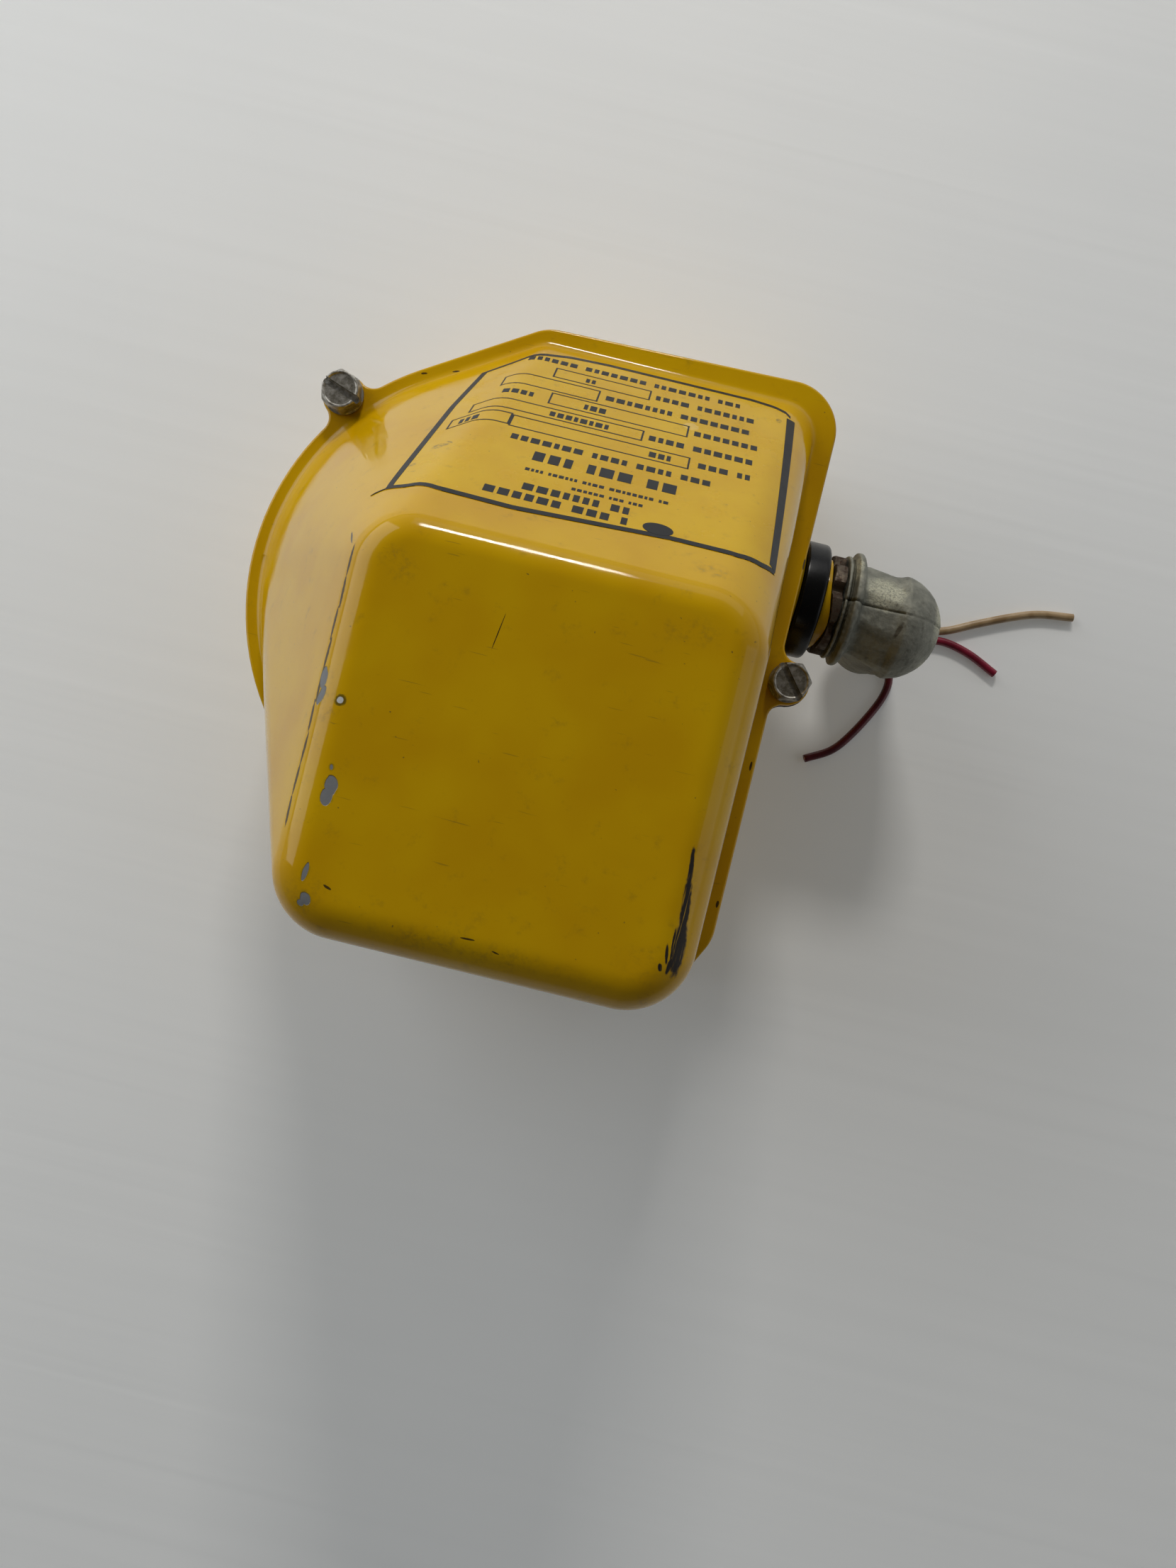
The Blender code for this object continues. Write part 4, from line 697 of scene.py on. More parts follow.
def eared_outline():
    """The rim's outline with its three ears."""
    points = outline(RIM_CIRCLES)
    for ear in EARS:
        bump = ear_bump(ear)
        before, after = (nearest_edge(points, Vector(end)) for end in (bump[0], bump[-1]))
        if after >= before:
            points = points[:before + 1] + bump + points[after + 1:]
        else:
            points = points[after + 1:before + 1] + bump
    kept = []
    for point in points:
        if not kept or math.dist(point, kept[-1]) > 0.15:
            kept.append(point)
    return kept


def grown(points, offset):
    """The outline moved outwards by a small offset, point by point."""
    moved = []
    count = len(points)
    for i, point in enumerate(points):
        before, after = Vector(points[i - 1]), Vector(points[(i + 1) % count])
        here = Vector(point)
        along = ((here - before).normalized() + (after - here).normalized()).normalized()
        moved.append(here + Vector((along.y, -along.x)) * offset)
    return moved


def at_height(points, z):
    return [(p[0], p[1], z) for p in points]


# ---- cover

def hull_entries(step=FINE_STEP, run=6.0):
    """(direction, point on the top's circle, point on the wall's circle) round the cover.

    Flat stretches, where only the circle centres move, are split into runs of about that length.
    """
    ends = sorted({round(angle % (2 * math.pi), 9) for circles in (TOP_CIRCLES, WALL_CIRCLES)
                   for span in spans(circles) for angle in span[:2]})
    ends.append(ends[0] + 2 * math.pi)

    def circle_at(circles, angle):
        for start, end, circle in spans(circles):
            if (angle - start) % (2 * math.pi) < end - start:
                return Vector(circle)
        return Vector(circles[0])

    entries = []
    for start, end in zip(ends, ends[1:]):
        if end - start < 1e-6:
            continue
        middle = (start + end) / 2
        top, wall = circle_at(TOP_CIRCLES, middle), circle_at(WALL_CIRCLES, middle)
        count = max(1, math.ceil(math.degrees(end - start) / step))
        for i in range(count + 1):
            entries.append((start + (end - start) * i / count, top, wall))
    filled = []
    for (angle, top, wall), (_, next_top, next_wall) in zip(entries, entries[1:] + entries[:1]):
        filled.append((angle, top, wall))
        length = max((next_top.xy - top.xy).length, (next_wall.xy - wall.xy).length)
        pieces = max(1, round(length / run)) if length > run else 1
        for k in range(1, pieces):
            filled.append((angle, top.lerp(next_top, k / pieces), wall.lerp(next_wall, k / pieces)))
    return filled


def cover_profile(entry, inset, base_height, fillet_steps=14):
    """One section of the cover's surface, from its flat top down to the wall's foot."""
    angle, top, wall = entry
    radial = Vector((math.cos(angle), math.sin(angle), 0))
    fillet = COVER_FILLET - inset
    centre = Vector((top[0], top[1], COVER_TOP - COVER_FILLET)) + radial * top[2]
    foot = Vector((wall[0], wall[1], base_height)) + radial * (wall[2] - inset)
    spread = (foot - centre).dot(radial)
    fall = centre.z - base_height
    lean = math.acos(fillet / math.hypot(spread, fall)) - math.atan2(fall, spread)
    points = []
    for i in range(fillet_steps + 1):
        rise = math.pi / 2 + (lean - math.pi / 2) * i / fillet_steps
        points.append(centre + fillet * (radial * math.cos(rise) + Vector((0, 0, math.sin(rise)))))
    return points, foot, radial


def foot_curve(start, foot, radial):
    """The small hollow fillet between the sloping side and the rim's face."""
    up = (start - foot).normalized()
    before = foot + up * FOOT_FILLET
    after = foot + radial * FOOT_FILLET
    return [before.lerp(foot, t).lerp(foot.lerp(after, t), t) for t in (0.0, 0.2, 0.4, 0.6, 0.8, 1.0)]


def flat_fill(tidy, loops):
    """Fills the flat region between closed loops of vertices."""
    edges = []
    for loop in loops:
        kept = [a for a, b in zip(loop, loop[1:] + loop[:1]) if (a.co - b.co).length > SAME]
        edges += [tidy.edges.get((a, b)) or tidy.edges.new((a, b)) for a, b in zip(kept, kept[1:] + kept[:1])]
    bmesh.ops.triangle_fill(tidy, use_beauty=True, use_dissolve=False, edges=edges)


def add_loop(tidy, points):
    return [tidy.verts.new(Vector(p) * MM) for p in points]


def bridge(tidy, a, b):
    """Quads between two loops of the same number of vertices."""
    count = len(a)
    for i in range(count):
        j = (i + 1) % count
        tidy.faces.new((a[i], a[j], b[j], b[i]))


def circle_points(centre, radius, z):
    return [(centre[0] + radius * math.cos(a), centre[1] + radius * math.sin(a), z) for a in full_turn(32)]


def cover():
    """The drawn cover: flat top, round fillet, sloping sides, hollow foot and the rim with its ears."""
    entries = hull_entries()
    tidy = bmesh.new()
    sections = []
    for entry in entries:
        profile, foot, radial = cover_profile(entry, 0.0, RIM_TOP)
        slope = [profile[-1].lerp(foot, k / 8) for k in range(1, 8)]
        sections.append(profile + slope + foot_curve(profile[-1], foot, radial))
    loops = [add_loop(tidy, level) for level in zip(*sections)]
    inner_top = add_loop(tidy, [section[0] - Vector((math.cos(e[0]), math.sin(e[0]), 0)) * TOP_EDGE
                                for section, e in zip(sections, entries)])
    bridge(tidy, inner_top, loops[0])
    tidy.faces.new(inner_top)
    for a, b in zip(loops, loops[1:]):
        bridge(tidy, a, b)
    edge_line = eared_outline()
    turns = [math.pi / 2 * k / 4 for k in range(5)]
    levels = [(-EDGE * (1 - math.sin(t)), RIM_TOP - EDGE * (1 - math.cos(t))) for t in turns]
    levels += [(0, RIM_BOTTOM + RIM_CHAMFER), (-RIM_CHAMFER, RIM_BOTTOM)]
    rim = [add_loop(tidy, at_height(grown(edge_line, offset), z)) for offset, z in levels]
    support = add_loop(tidy, at_height(grown(edge_line, -EDGE - 0.3), RIM_TOP))
    bridge(tidy, support, rim[0])
    for a, b in zip(rim, rim[1:]):
        bridge(tidy, a, b)
    holes_top = [add_loop(tidy, circle_points(ear, SCREW_HOLE, RIM_TOP)) for ear in EARS]
    holes_low = [add_loop(tidy, circle_points(ear, SCREW_HOLE, RIM_BOTTOM)) for ear in EARS]
    for a, b in zip(holes_top, holes_low):
        bridge(tidy, a, b)
    flat_fill(tidy, [loops[-1], support] + holes_top)
    sections = []
    for entry in entries:
        profile, foot, _ = cover_profile(entry, COVER_WALL, RIM_BOTTOM, 6)
        sections.append(profile + [foot])
    inner_loops = [add_loop(tidy, level) for level in zip(*sections)]
    for a, b in zip(inner_loops, inner_loops[1:]):
        bridge(tidy, a, b)
    tidy.faces.new(inner_loops[0])
    flat_fill(tidy, [rim[-1], inner_loops[-1]] + holes_low)
    piece = piece_from("cover", bpy.data.meshes.new("cover"), tidy, cover_paint(), 35)
    place(piece, "yellow_paint", "cover_shell")


def gasket():
    """The gasket, squeezed out unevenly past the rim."""
    line = eared_outline()
    rng = random.Random(GASKET_SEED)
    edge = []
    for x, y in line:
        squeeze = 0.1 + 0.22 * noise.noise(Vector((x, y, 0)) * 0.12) + rng.uniform(-0.02, 0.02)
        edge.append(min(0.33, squeeze))
    normals = [b - Vector(a) for a, b in zip(line, grown(line, 1.0))]
    low, high = GASKET_LOW - 0.25, GASKET_HIGH + 0.25

    def ring(offset, z):
        reaches = [offset + e for e in edge]
        return [(p[0] + n.x * reach, p[1] + n.y * reach, z) for p, n, reach in zip(line, normals, reaches)]

    section = ((-4.5, low), (-0.3, low), (0, low + 0.4), (0, high - 0.4), (-0.3, high), (-4.5, high))
    piece = loft("gasket", [ring(*corner) for corner in section], gasket_rubber(), ring=True)
    place(piece, "gasket", "cover_gasket")


# ---- base

BOLT_CIRCLE = 25.0  # radius
BASE_SECTION = (  # (how far inside the rim's outline, height)
    (3.0, 0.0), (2.1, 0.35), (1.6, 1.1), (1.45, 2.2), (1.2, 20.0), (1.05, BASE_TOP - 1.2),
    (1.15, BASE_TOP - 0.45), (1.5, BASE_TOP - 0.05), (2.0, BASE_TOP),
)
HUB = [(0, 68.0), (16.0, 68.0), (16.0, 73.2), (15.6, 73.8), (15.5, 74.6), (15.1, 75.0), (0, 75.0)]
HUB_BORE = [(0, 60), (10.7, 60), (10.7, 80), (0, 80)]
BEARING_BOSS = [(0, 2), (24, 2), (24, 12.6), (23.2, 13.4), (0, 13.4)]
BEARING_BORE = [(0, -2), (13.8, -2), (13.8, 20), (0, 20)]
POCKET = [(0, -2), (21.0, -2), (20.6, 0.01), (20.0, 0.6), (20.0, 5.6), (19.6, 6.0), (0, 6.0)]
PAD = [(0, 3), (6, 3), (6, 9.6), (5.6, 10), (0, 10)]
TAPPED_HOLE = [(0, -2), (3.3, -2), (3.3, 0.01), (2.6, 0.7), (2.6, 8.2), (0, 9.0)]
EAR_HOLE = [(0, BASE_TOP - 16), (3.4, BASE_TOP - 16), (3.4, BASE_TOP + 4), (0, BASE_TOP + 4)]


def base():
    """The cast base: rounded lower edge, cavity, hub, bearing seat, coupling pocket and tapped holes."""
    material = base_paint()
    line = eared_outline()
    piece = loft("base", [at_height(grown(line, -inset), z) for inset, z in BASE_SECTION], material)
    inside = outline(RIM_CIRCLES, -BASE_WALL)
    boolean(piece, loft("cavity", [at_height(inside, z) for z in (BASE_FLOOR, BASE_TOP + 5)], material))
    middle = (0, 0, 0)
    boolean(piece, spun(HUB, material, AXIS, 72, "X"), "UNION")
    boolean(piece, spun(BEARING_BOSS, material, middle, 64), "UNION")
    boolean(piece, spun(BEARING_BORE, material, middle, 64))
    boolean(piece, spun(POCKET, material, middle, 72))
    boolean(piece, spun(HUB_BORE, material, AXIS, 48, "X"))
    for k in range(4):
        turn = math.radians(45 + 90 * k)
        centre = (BOLT_CIRCLE * math.cos(turn), BOLT_CIRCLE * math.sin(turn), 0)
        boolean(piece, spun(PAD, material, centre, 32), "UNION")
        boolean(piece, spun(TAPPED_HOLE, material, centre, 32))
    for ear in EARS:
        boolean(piece, spun(EAR_HOLE, material, (*ear, 0), 24))
    smooth(piece, 32)
    place(piece, "yellow_paint", "base_housing")


# ---- screws

HEX_FLATS = 9.53
HEAD_LOW = RIM_TOP + 0.3
HEAD_HIGH = HEAD_LOW + 5.6
SLOT = 1.7
SLOT_DEPTH = 1.9
SLOT_TURNS = (-19.0, -51.0, 5.0)
SHANK = 3.175
SHANK_END = BASE_TOP - 14.6


def cover_screw(number, ear, turn, material):
    """A slotted hex head with rounded corners, a raised lip round its top, and a washer face."""
    half = HEX_FLATS / 2
    crown = half * 0.985
    washer_face = half + 0.45

    def hex_radius(angle):
        local = (angle - math.radians(turn)) % (math.pi / 3) - math.pi / 6
        sharp = half / math.cos(local)
        return min(sharp, half * 1.125 + (half * 1.155 - sharp) * 0.2)

    def ring(radius, z):
        points = []
        for angle in full_turn(96):
            out = radius(angle) if callable(radius) else radius
            high = z(angle) if callable(z) else z
            points.append((ear[0] + out * math.cos(angle), ear[1] + out * math.sin(angle), high))
        return points

    section = (
        (0.01, SHANK_END),
        (SHANK - 0.6, SHANK_END),
        (SHANK, SHANK_END + 0.6),
        (SHANK, HEAD_LOW),
        (washer_face - 0.2, HEAD_LOW),
        (washer_face, HEAD_LOW + 0.2),
        (washer_face, HEAD_LOW + 0.75),
        (lambda a: min(hex_radius(a), washer_face) - 0.05, HEAD_LOW + 1.0),
        (hex_radius, HEAD_LOW + 1.15),
        (hex_radius, lambda a: HEAD_HIGH - 0.35 - (hex_radius(a) - crown) * 0.9),
        (lambda a: hex_radius(a) - 0.12, lambda a: HEAD_HIGH - 0.15 - (hex_radius(a) - crown) * 0.8),
        (crown, HEAD_HIGH - 0.05),
        (crown - 0.15, HEAD_HIGH),
        (crown - 0.4, HEAD_HIGH),
        (crown - 0.6, HEAD_HIGH - 0.12),
        (crown - 0.75, HEAD_HIGH - 0.3),
        (crown * 0.5, HEAD_HIGH - 0.36),
        (0.01, HEAD_HIGH - 0.3),
    )
    rings = [ring(radius, z) for radius, z in section]
    screw = loft(f"screw_{number}", rings, material, origin=(*ear, HEAD_LOW))
    angle = math.radians(turn)
    along = Vector((math.cos(angle), math.sin(angle), 0))
    across = Vector((-math.sin(angle), math.cos(angle), 0))
    side = SLOT / 2
    right = [(side - 0.2, -SLOT_DEPTH), (side, 0.2 - SLOT_DEPTH), (side, -0.3),
             (side + 0.05, -0.1), (side + 0.15, 1)]
    profile = [(-x, z) for x, z in reversed(right)] + right
    loops = []
    for end in (-8, 8):
        loops.append([Vector((*ear, HEAD_HIGH + dz)) + along * end + across * dx for dx, dz in profile])
    boolean(screw, loft("slot", loops, material))
    smooth(screw, 28)
    place(screw, "steel", f"cover_screw_{number}")


def cover_screws():
    material = screw_steel()
    for number, (ear, turn) in enumerate(zip(EARS, SLOT_TURNS), 1):
        cover_screw(number, ear, turn, material)


# ---- nameplate

# The film's edges: its left one is (share down the slope, place along it), the others the other way round
LABEL_LEFT = ((0.0, -25.2), (0.2, -25.2), (0.67, -23.4), (1.0, -19.6))
LABEL_RIGHT = 61.8
LABEL_NEAR = (
    (-26, 0.175), (-20, 0.135), (-12, 0.1), (4, 0.095), (37, 0.128), (51, 0.128), (57, 0.155), (62, 0.195),
)
LABEL_FAR = (
    (-26, 0.9), (-12, 0.915), (-4, 0.932), (2, 0.952), (12, 0.962), (50, 0.965), (56, 0.955), (59.5, 0.935),
    (61.3, 0.905), (62, 0.87),
)
BORDER_NEAR = 0.0165
BORDER_FAR = 0.0135
BORDER_SIDE = (1.75, 2.3)  # left and right
FILM_LIFT = 0.1
INK_LIFT = 0.14


def between(table, value):
    """Straight interpolation in a table of (key, value)."""
    for (a, low), (b, high) in zip(table, table[1:]):
        if value <= b:
            return low + (high - low) * max(0.0, (value - a) / (b - a))
    return table[-1][1]


class Slope:
    """The cover's far slope as a sheet: a place along it in millimetres and a share of the way down it."""

    def __init__(self):
        self.lines = []
        for entry in hull_entries(1.5, 3.0):
            degrees = math.degrees(entry[0]) % 360
            if 30 <= degrees <= 205:
                profile, foot, _ = cover_profile(entry, 0.0, RIM_TOP)
                centre = profile[0] - Vector((0, 0, COVER_FILLET))
                self.lines.append((degrees, profile[-1], foot, (profile[-1] - centre).normalized()))
        self.cache = {}

    def row(self, share):
        """(place along, point, normal) at each line, at one share; the place is X where the slope is flat."""
        key = round(share, 5)
        if key not in self.cache:
            points = [(start.lerp(foot, share), normal) for _, start, foot, normal in self.lines]
            flat = next(i for i, line in enumerate(self.lines) if abs(line[0] - 90) < 0.01)
            places = [0.0]
            for (p, _), (q, _) in zip(points, points[1:]):
                places.append(places[-1] + (q - p).length)
            shift = points[flat][0].x + places[flat]
            self.cache[key] = [(shift - a, p, n) for a, (p, n) in zip(places, points)]
        return self.cache[key]

    def point(self, along, share, lift):
        row = self.row(share)
        for (a, p, n), (b, q, m) in zip(row, row[1:]):
            if along >= b and a > b:
                t = (a - along) / (a - b)
                return p.lerp(q, t) + n.lerp(m, t).normalized() * lift
        return row[-1][1] + row[-1][2] * lift


def sheet(name, grid, thick, material, slope):
    """A thin plate on the slope from a grid of (place, share), with its edges turned down."""
    rows, columns = len(grid), len(grid[0])
    vertices = []
    for lift in (thick, 0.01):
        vertices += [slope.point(a, t, lift) for line in grid for a, t in line]
    count = rows * columns
    faces = []
    for i in range(rows - 1):
        for j in range(columns - 1):
            a = i * columns + j
            quad = [a, a + 1, a + columns + 1, a + columns]
            faces.append(quad)
            faces.append([count + k for k in quad[::-1]])
    rim = list(range(columns)) + [i * columns + columns - 1 for i in range(1, rows)]
    rim += [(rows - 1) * columns + j for j in range(columns - 2, -1, -1)]
    rim += [i * columns for i in range(rows - 2, 0, -1)]
    faces += [[a, b, count + b, count + a] for a, b in zip(rim, rim[1:] + rim[:1])]
    return mesh_piece(name, vertices, faces, material)


def label_edges(along):
    return between(LABEL_NEAR, along), between(LABEL_FAR, along)


def left_edge(share):
    return between(LABEL_LEFT, share)


def film_grid(columns=60, rows=34):
    """The film's grid. Its left and long edges depend on each other, so each point is found in steps."""
    grid = []
    for j in range(columns + 1):
        line = []
        for i in range(rows + 1):
            share = 0.1 + 0.86 * i / rows
            for _ in range(4):
                along = LABEL_RIGHT + (left_edge(share) - LABEL_RIGHT) * j / columns
                near, far = label_edges(along)
                share = near + (far - near) * i / rows
            line.append((along, share))
        grid.append(line)
    return grid


def band(a0, a1, edges, steps):
    """A grid between two edge functions of the place along the slope."""
    grid = []
    for k in range(steps + 1):
        along = a0 + (a1 - a0) * k / steps
        low, high = edges(along)
        grid.append([(along, low), (along, (low + high) / 2), (along, high)])
    return grid


def side_band(place_of, width, low, high, steps=30):
    """A grid down one side of the plate."""
    grid = []
    for k in range(steps + 1):
        share = low + (high - low) * k / steps
        along = place_of(share)
        grid.append([(along, share), (along + width / 2, share), (along + width, share)])
    return grid


LINE = 0.42  # line width of the field boxes
DOWN = 97.8  # length of the flat part of the slope
BADGE = (34.0, 0.160, 3.3, 0.024)  # place along and share, then its reach in each
FIELDS = (
    (-4.8, 37.6, 0.472, 0.534), (-19.6, -4.8, 0.478, 0.540), (-16.2, 25.6, 0.560, 0.618),
    (1.4, 35.8, 0.640, 0.706), (-11.8, 12.5, 0.716, 0.784), (-0.2, 24.6, 0.800, 0.860),
)
WORD_ROWS = (  # from and to along the slope, from and to down it, and the width of a letter
    (-3.5, 28.5, 0.144, 0.174, 3.0), (4.0, 28.5, 0.190, 0.220, 3.0), (14.0, 30.5, 0.238, 0.250, 1.3),
    (3.0, 35.0, 0.278, 0.291, 1.4), (3.5, 36.0, 0.332, 0.376, 4.0), (-3.0, 43.0, 0.412, 0.438, 2.6),
    (39.6, 52.6, 0.490, 0.517, 2.6), (27.0, 53.4, 0.573, 0.600, 2.6), (37.2, 53.4, 0.658, 0.684, 2.6),
    (14.2, 53.0, 0.738, 0.764, 2.6), (26.0, 53.0, 0.812, 0.838, 2.6), (-8.0, 49.0, 0.886, 0.910, 2.6),
    (-10.0, -1.0, 0.655, 0.680, 2.3), (28.0, 35.0, 0.488, 0.515, 2.1), (3.0, 19.0, 0.575, 0.600, 2.1),
    (10.0, 15.0, 0.656, 0.684, 2.1), (8.0, 12.0, 0.815, 0.838, 2.1), (-17.0, -11.0, 0.492, 0.520, 2.2),
)


def box_lines(a0, a1, t0, t1):
    """Four thin bars round a field."""
    thin = LINE / DOWN
    long_bars = [(a0, a1, t0, t0 + thin), (a0, a1, t1 - thin, t1)]
    return long_bars + [(a0, a0 + LINE, t0, t1), (a1 - LINE, a1, t0, t1)]


def word_bars(rng, a0, a1, t0, t1, letter):
    """Rows of small blocks that stand for printed words."""
    bars = []
    along = a0
    left = rng.randint(3, 8)
    while along + letter * 0.6 < a1:
        width = letter * rng.choice((0.45, 0.62, 0.7, 0.78))
        bars.append((along, along + width, t0, t1))
        along += width + letter * 0.26
        left -= 1
        if left == 0:
            along += letter * 0.6
            left = rng.randint(3, 8)
    return bars


def oval(a, t, reach_a, reach_t):
    """A filled oval on the slope, a plain badge."""
    grid = []
    for k in range(25):
        turn = math.pi * k / 24
        half = reach_t * max(0.03, math.sin(turn))
        grid.append([(a + reach_a * math.cos(turn), t + side * half) for side in (-1, 1)])
    return grid


def nameplate():
    """The printed film with its dark border, empty field boxes, and blocks in place of words."""
    slope = Slope()
    plate = sheet("nameplate_film", film_grid(), FILM_LIFT, film(), slope)
    place(plate, "label", "nameplate")
    print_ink = ink()
    grids = [
        band(left_edge(0.17), 61.5, lambda a: (label_edges(a)[0], label_edges(a)[0] + BORDER_NEAR), 60),
        band(left_edge(0.9) + 0.2, 60.4, lambda a: (label_edges(a)[1] - BORDER_FAR, label_edges(a)[1]), 60),
        side_band(left_edge, BORDER_SIDE[0], 0.175, 0.905),
        side_band(lambda t: LABEL_RIGHT - BORDER_SIDE[1] - 0.05, BORDER_SIDE[1], 0.2, 0.9),
        side_band(lambda t: -25.2 - (t - 0.172) * 270, 1.0, 0.172, 0.187, 6),
        oval(*BADGE),
    ]
    border = [sheet(f"border_{k}", grid, INK_LIFT + 0.004 * k, print_ink, slope)
              for k, grid in enumerate(grids)]
    rng = random.Random(PRINT_SEED)
    bars = [bar for field in FIELDS for bar in box_lines(*field)]
    for row in WORD_ROWS:
        bars += word_bars(rng, *row)
    marks = []
    for k, (a0, a1, t0, t1) in enumerate(bars):
        steps = max(1, round(abs(a1 - a0) / 1.2))
        grid = [[(a1 + (a0 - a1) * j / steps, t) for t in (t0, t1)] for j in range(steps + 1)]
        marks.append(sheet(f"mark_{k}", grid, INK_LIFT + 0.002 * (k % 3), print_ink, slope))
    for name, group in (("nameplate_border", border), ("nameplate_print", marks)):
        place(joined(name, group), "label")


def joined(name, group):
    """Several meshes as one piece."""
    whole = bmesh.new()
    for piece in group:
        whole.from_mesh(piece.data)
    material = group[0].data.materials[0]
    for piece in group:
        bpy.data.objects.remove(piece)
    return piece_from(name, bpy.data.meshes.new(name), whole, material, weld=False)


# ---- conduit fitting

PASSAGE = 8.0  # radius of the bore through the elbow
PASSAGE_END = 101.8
THREAD_PITCH = 1.8
THREAD_TURNS = 12
THREAD_ROOT = 9.35
THREAD_CREST = 10.2
DOME_START = 103.4
DOME_REACH = 13.8
DOME_RADIUS = 14.55
DOME_RINGS = 15
CASTING_VOXEL = 0.34
BODY_LEAN = 1.6  # how far the cast body leans off the axis towards the near side
BARREL_AT = (103.2, AXIS[1] - BODY_LEAN, 0)
SHOULDER = [
    (0.01, 85.6, 0), (10.3, 85.6, 0), (10.3, 87.3, 0.2), (14.5, 87.3, 0.3), (14.5, 88.3, 0.3),
    (13.4, 88.5, 0.1), (13.4, 89.0, 0.1), (15.95, 89.7, 0.3), (15.95, 90.9, 0.4), (15.5, 91.5, 0.3),
    (13.6, 92.3, 0.5), (0.01, 92.9, 0),
]
BARREL = [
    (0.01, 10.0, 0), (10.65, 10.0, 0.6), (10.65, 21.0, 1.0), (12.6, 28.0, 2.0), (13.1, 33.0, 1.5),
    (13.1, 39.0, 0), (0.01, 39.0, 0),
]
BODY_SECTIONS = (  # (place along the axis, how flat-sided, size)
    (91.0, 1, 12.8), (92.5, 1, 12.5), (94.0, 1, 12.6), (98.0, 1, 12.9), (101.0, 1, 13.2), (102.6, 1, 13.4),
    (103.4, 0.35, 13.9),
)


def seal_ring():
    corners = [(10.6, 75.3, 0.3), (16.0, 75.3, 0.9), (16.0, 81.9, 1.5), (11.4, 81.9, 0.6), (10.6, 81.2, 0.2)]
    piece = loft("seal_ring", turned(rounded(corners, 0.5), 96, AXIS, "X"), glossy_rubber(), ring=True)
    place(piece, "black_rubber", "conduit_seal_ring")


def bent_ring(name, corners, bend, material):
    """A ring about the conduit's axis; bend moves each corner of its section with the angle."""
    loops = []
    for corner in corners:
        ring = []
        for angle in full_turn(144):
            out, along = bend(*corner, angle)
            ring.append((along, AXIS[1] + out * math.cos(angle), AXIS[2] + out * math.sin(angle)))
        loops.append(ring)
    return loft(name, loops, material, ring=True)


def bulge(angle):
    """How far the bent washer pushes the nut away at that angle, in millimetres."""
    off = (angle - math.radians(125) + math.pi) % (2 * math.pi) - math.pi
    return 1.7 * math.exp(-(off / math.radians(35)) ** 2)


def washer():
    """A painted washer that is bent towards the nut along one side."""
    corners = rounded([(10.6, 82.2), (12.5, 82.2), (12.5, 83.2), (10.6, 83.2)], 0.25, 3)

    def bend(radius, height, angle):
        return radius, height + bulge(angle) * (height > 82.7)

    place(bent_ring("washer", corners, bend, washer_paint()), "yellow_paint", "conduit_washer")


def locknut():
    """A stamped locknut: notches round a thin edge that is bent wavy."""
    corners = rounded([(10.6, 83.5), (13.75, 83.5), (13.75, 86.9), (10.6, 86.9)], 0.35, 3)

    def bend(radius, height, angle):
        notch = max(0.0, math.cos(8 * angle + 1.4) - 0.35) / 0.65
        share = max(0.0, (radius - 10.6) / 3.15)
        low = 83.5 + bulge(angle)
        wavy = height + share * 0.25 * math.sin(8 * angle)
        return radius - share * notch * 1.9, min(86.9, max(83.5, wavy)) if height > 85.2 else max(low, wavy)

    place(bent_ring("locknut", corners, bend, rust()), "rusty_steel", "conduit_locknut")


def body_section(x, flat, size):
    """A ring of the fitting's body: a rounded octagon where flat is 1, a circle where it is 0."""
    share = min(1.0, max(0.0, (x - 93.0) / 9.0))
    lean = BODY_LEAN * share * share * (3 - 2 * share)
    ring = []
    for angle in full_turn(120):
        local = (angle - math.pi / 8) % (math.pi / 4) - math.pi / 8
        octagon = min(size * 0.985 / math.cos(local), size * 1.035)
        out = octagon * flat + size * (1 - flat)
        ring.append((x, AXIS[1] - lean + out * math.cos(angle), AXIS[2] + out * math.sin(angle)))
    return ring


def roughen(whole):
    """Gives the casting its uneven skin, and a step and a groove along its parting line."""
    normals = [vertex.normal.copy() for vertex in whole.data.vertices]
    moved = []
    for vertex, normal in zip(whole.data.vertices, normals):
        p = vertex.co / MM
        lift = 0.0
        if p.x > 87.0:
            rough = 0.08 * noise.fractal(p * 0.9, 1.0, 2.1, 4) + 0.10 * noise.noise(p * 0.22)
            step = 0.16 if p.y > AXIS[1] + 0.4 else 0.0
            seam = 0.0
            if normal.z > 0.2 or normal.x > 0.5:
                seam = 0.34 * math.exp(-((p.y - AXIS[1] - 0.25) / 0.3) ** 2)
            if 103.8 < p.x < 113:
                seam *= 0.15
            lift = rough + step - seam - 0.18
        moved += [c * MM for c in p + normal * lift]
    whole.data.vertices.foreach_set("co", moved)
    whole.data.update()


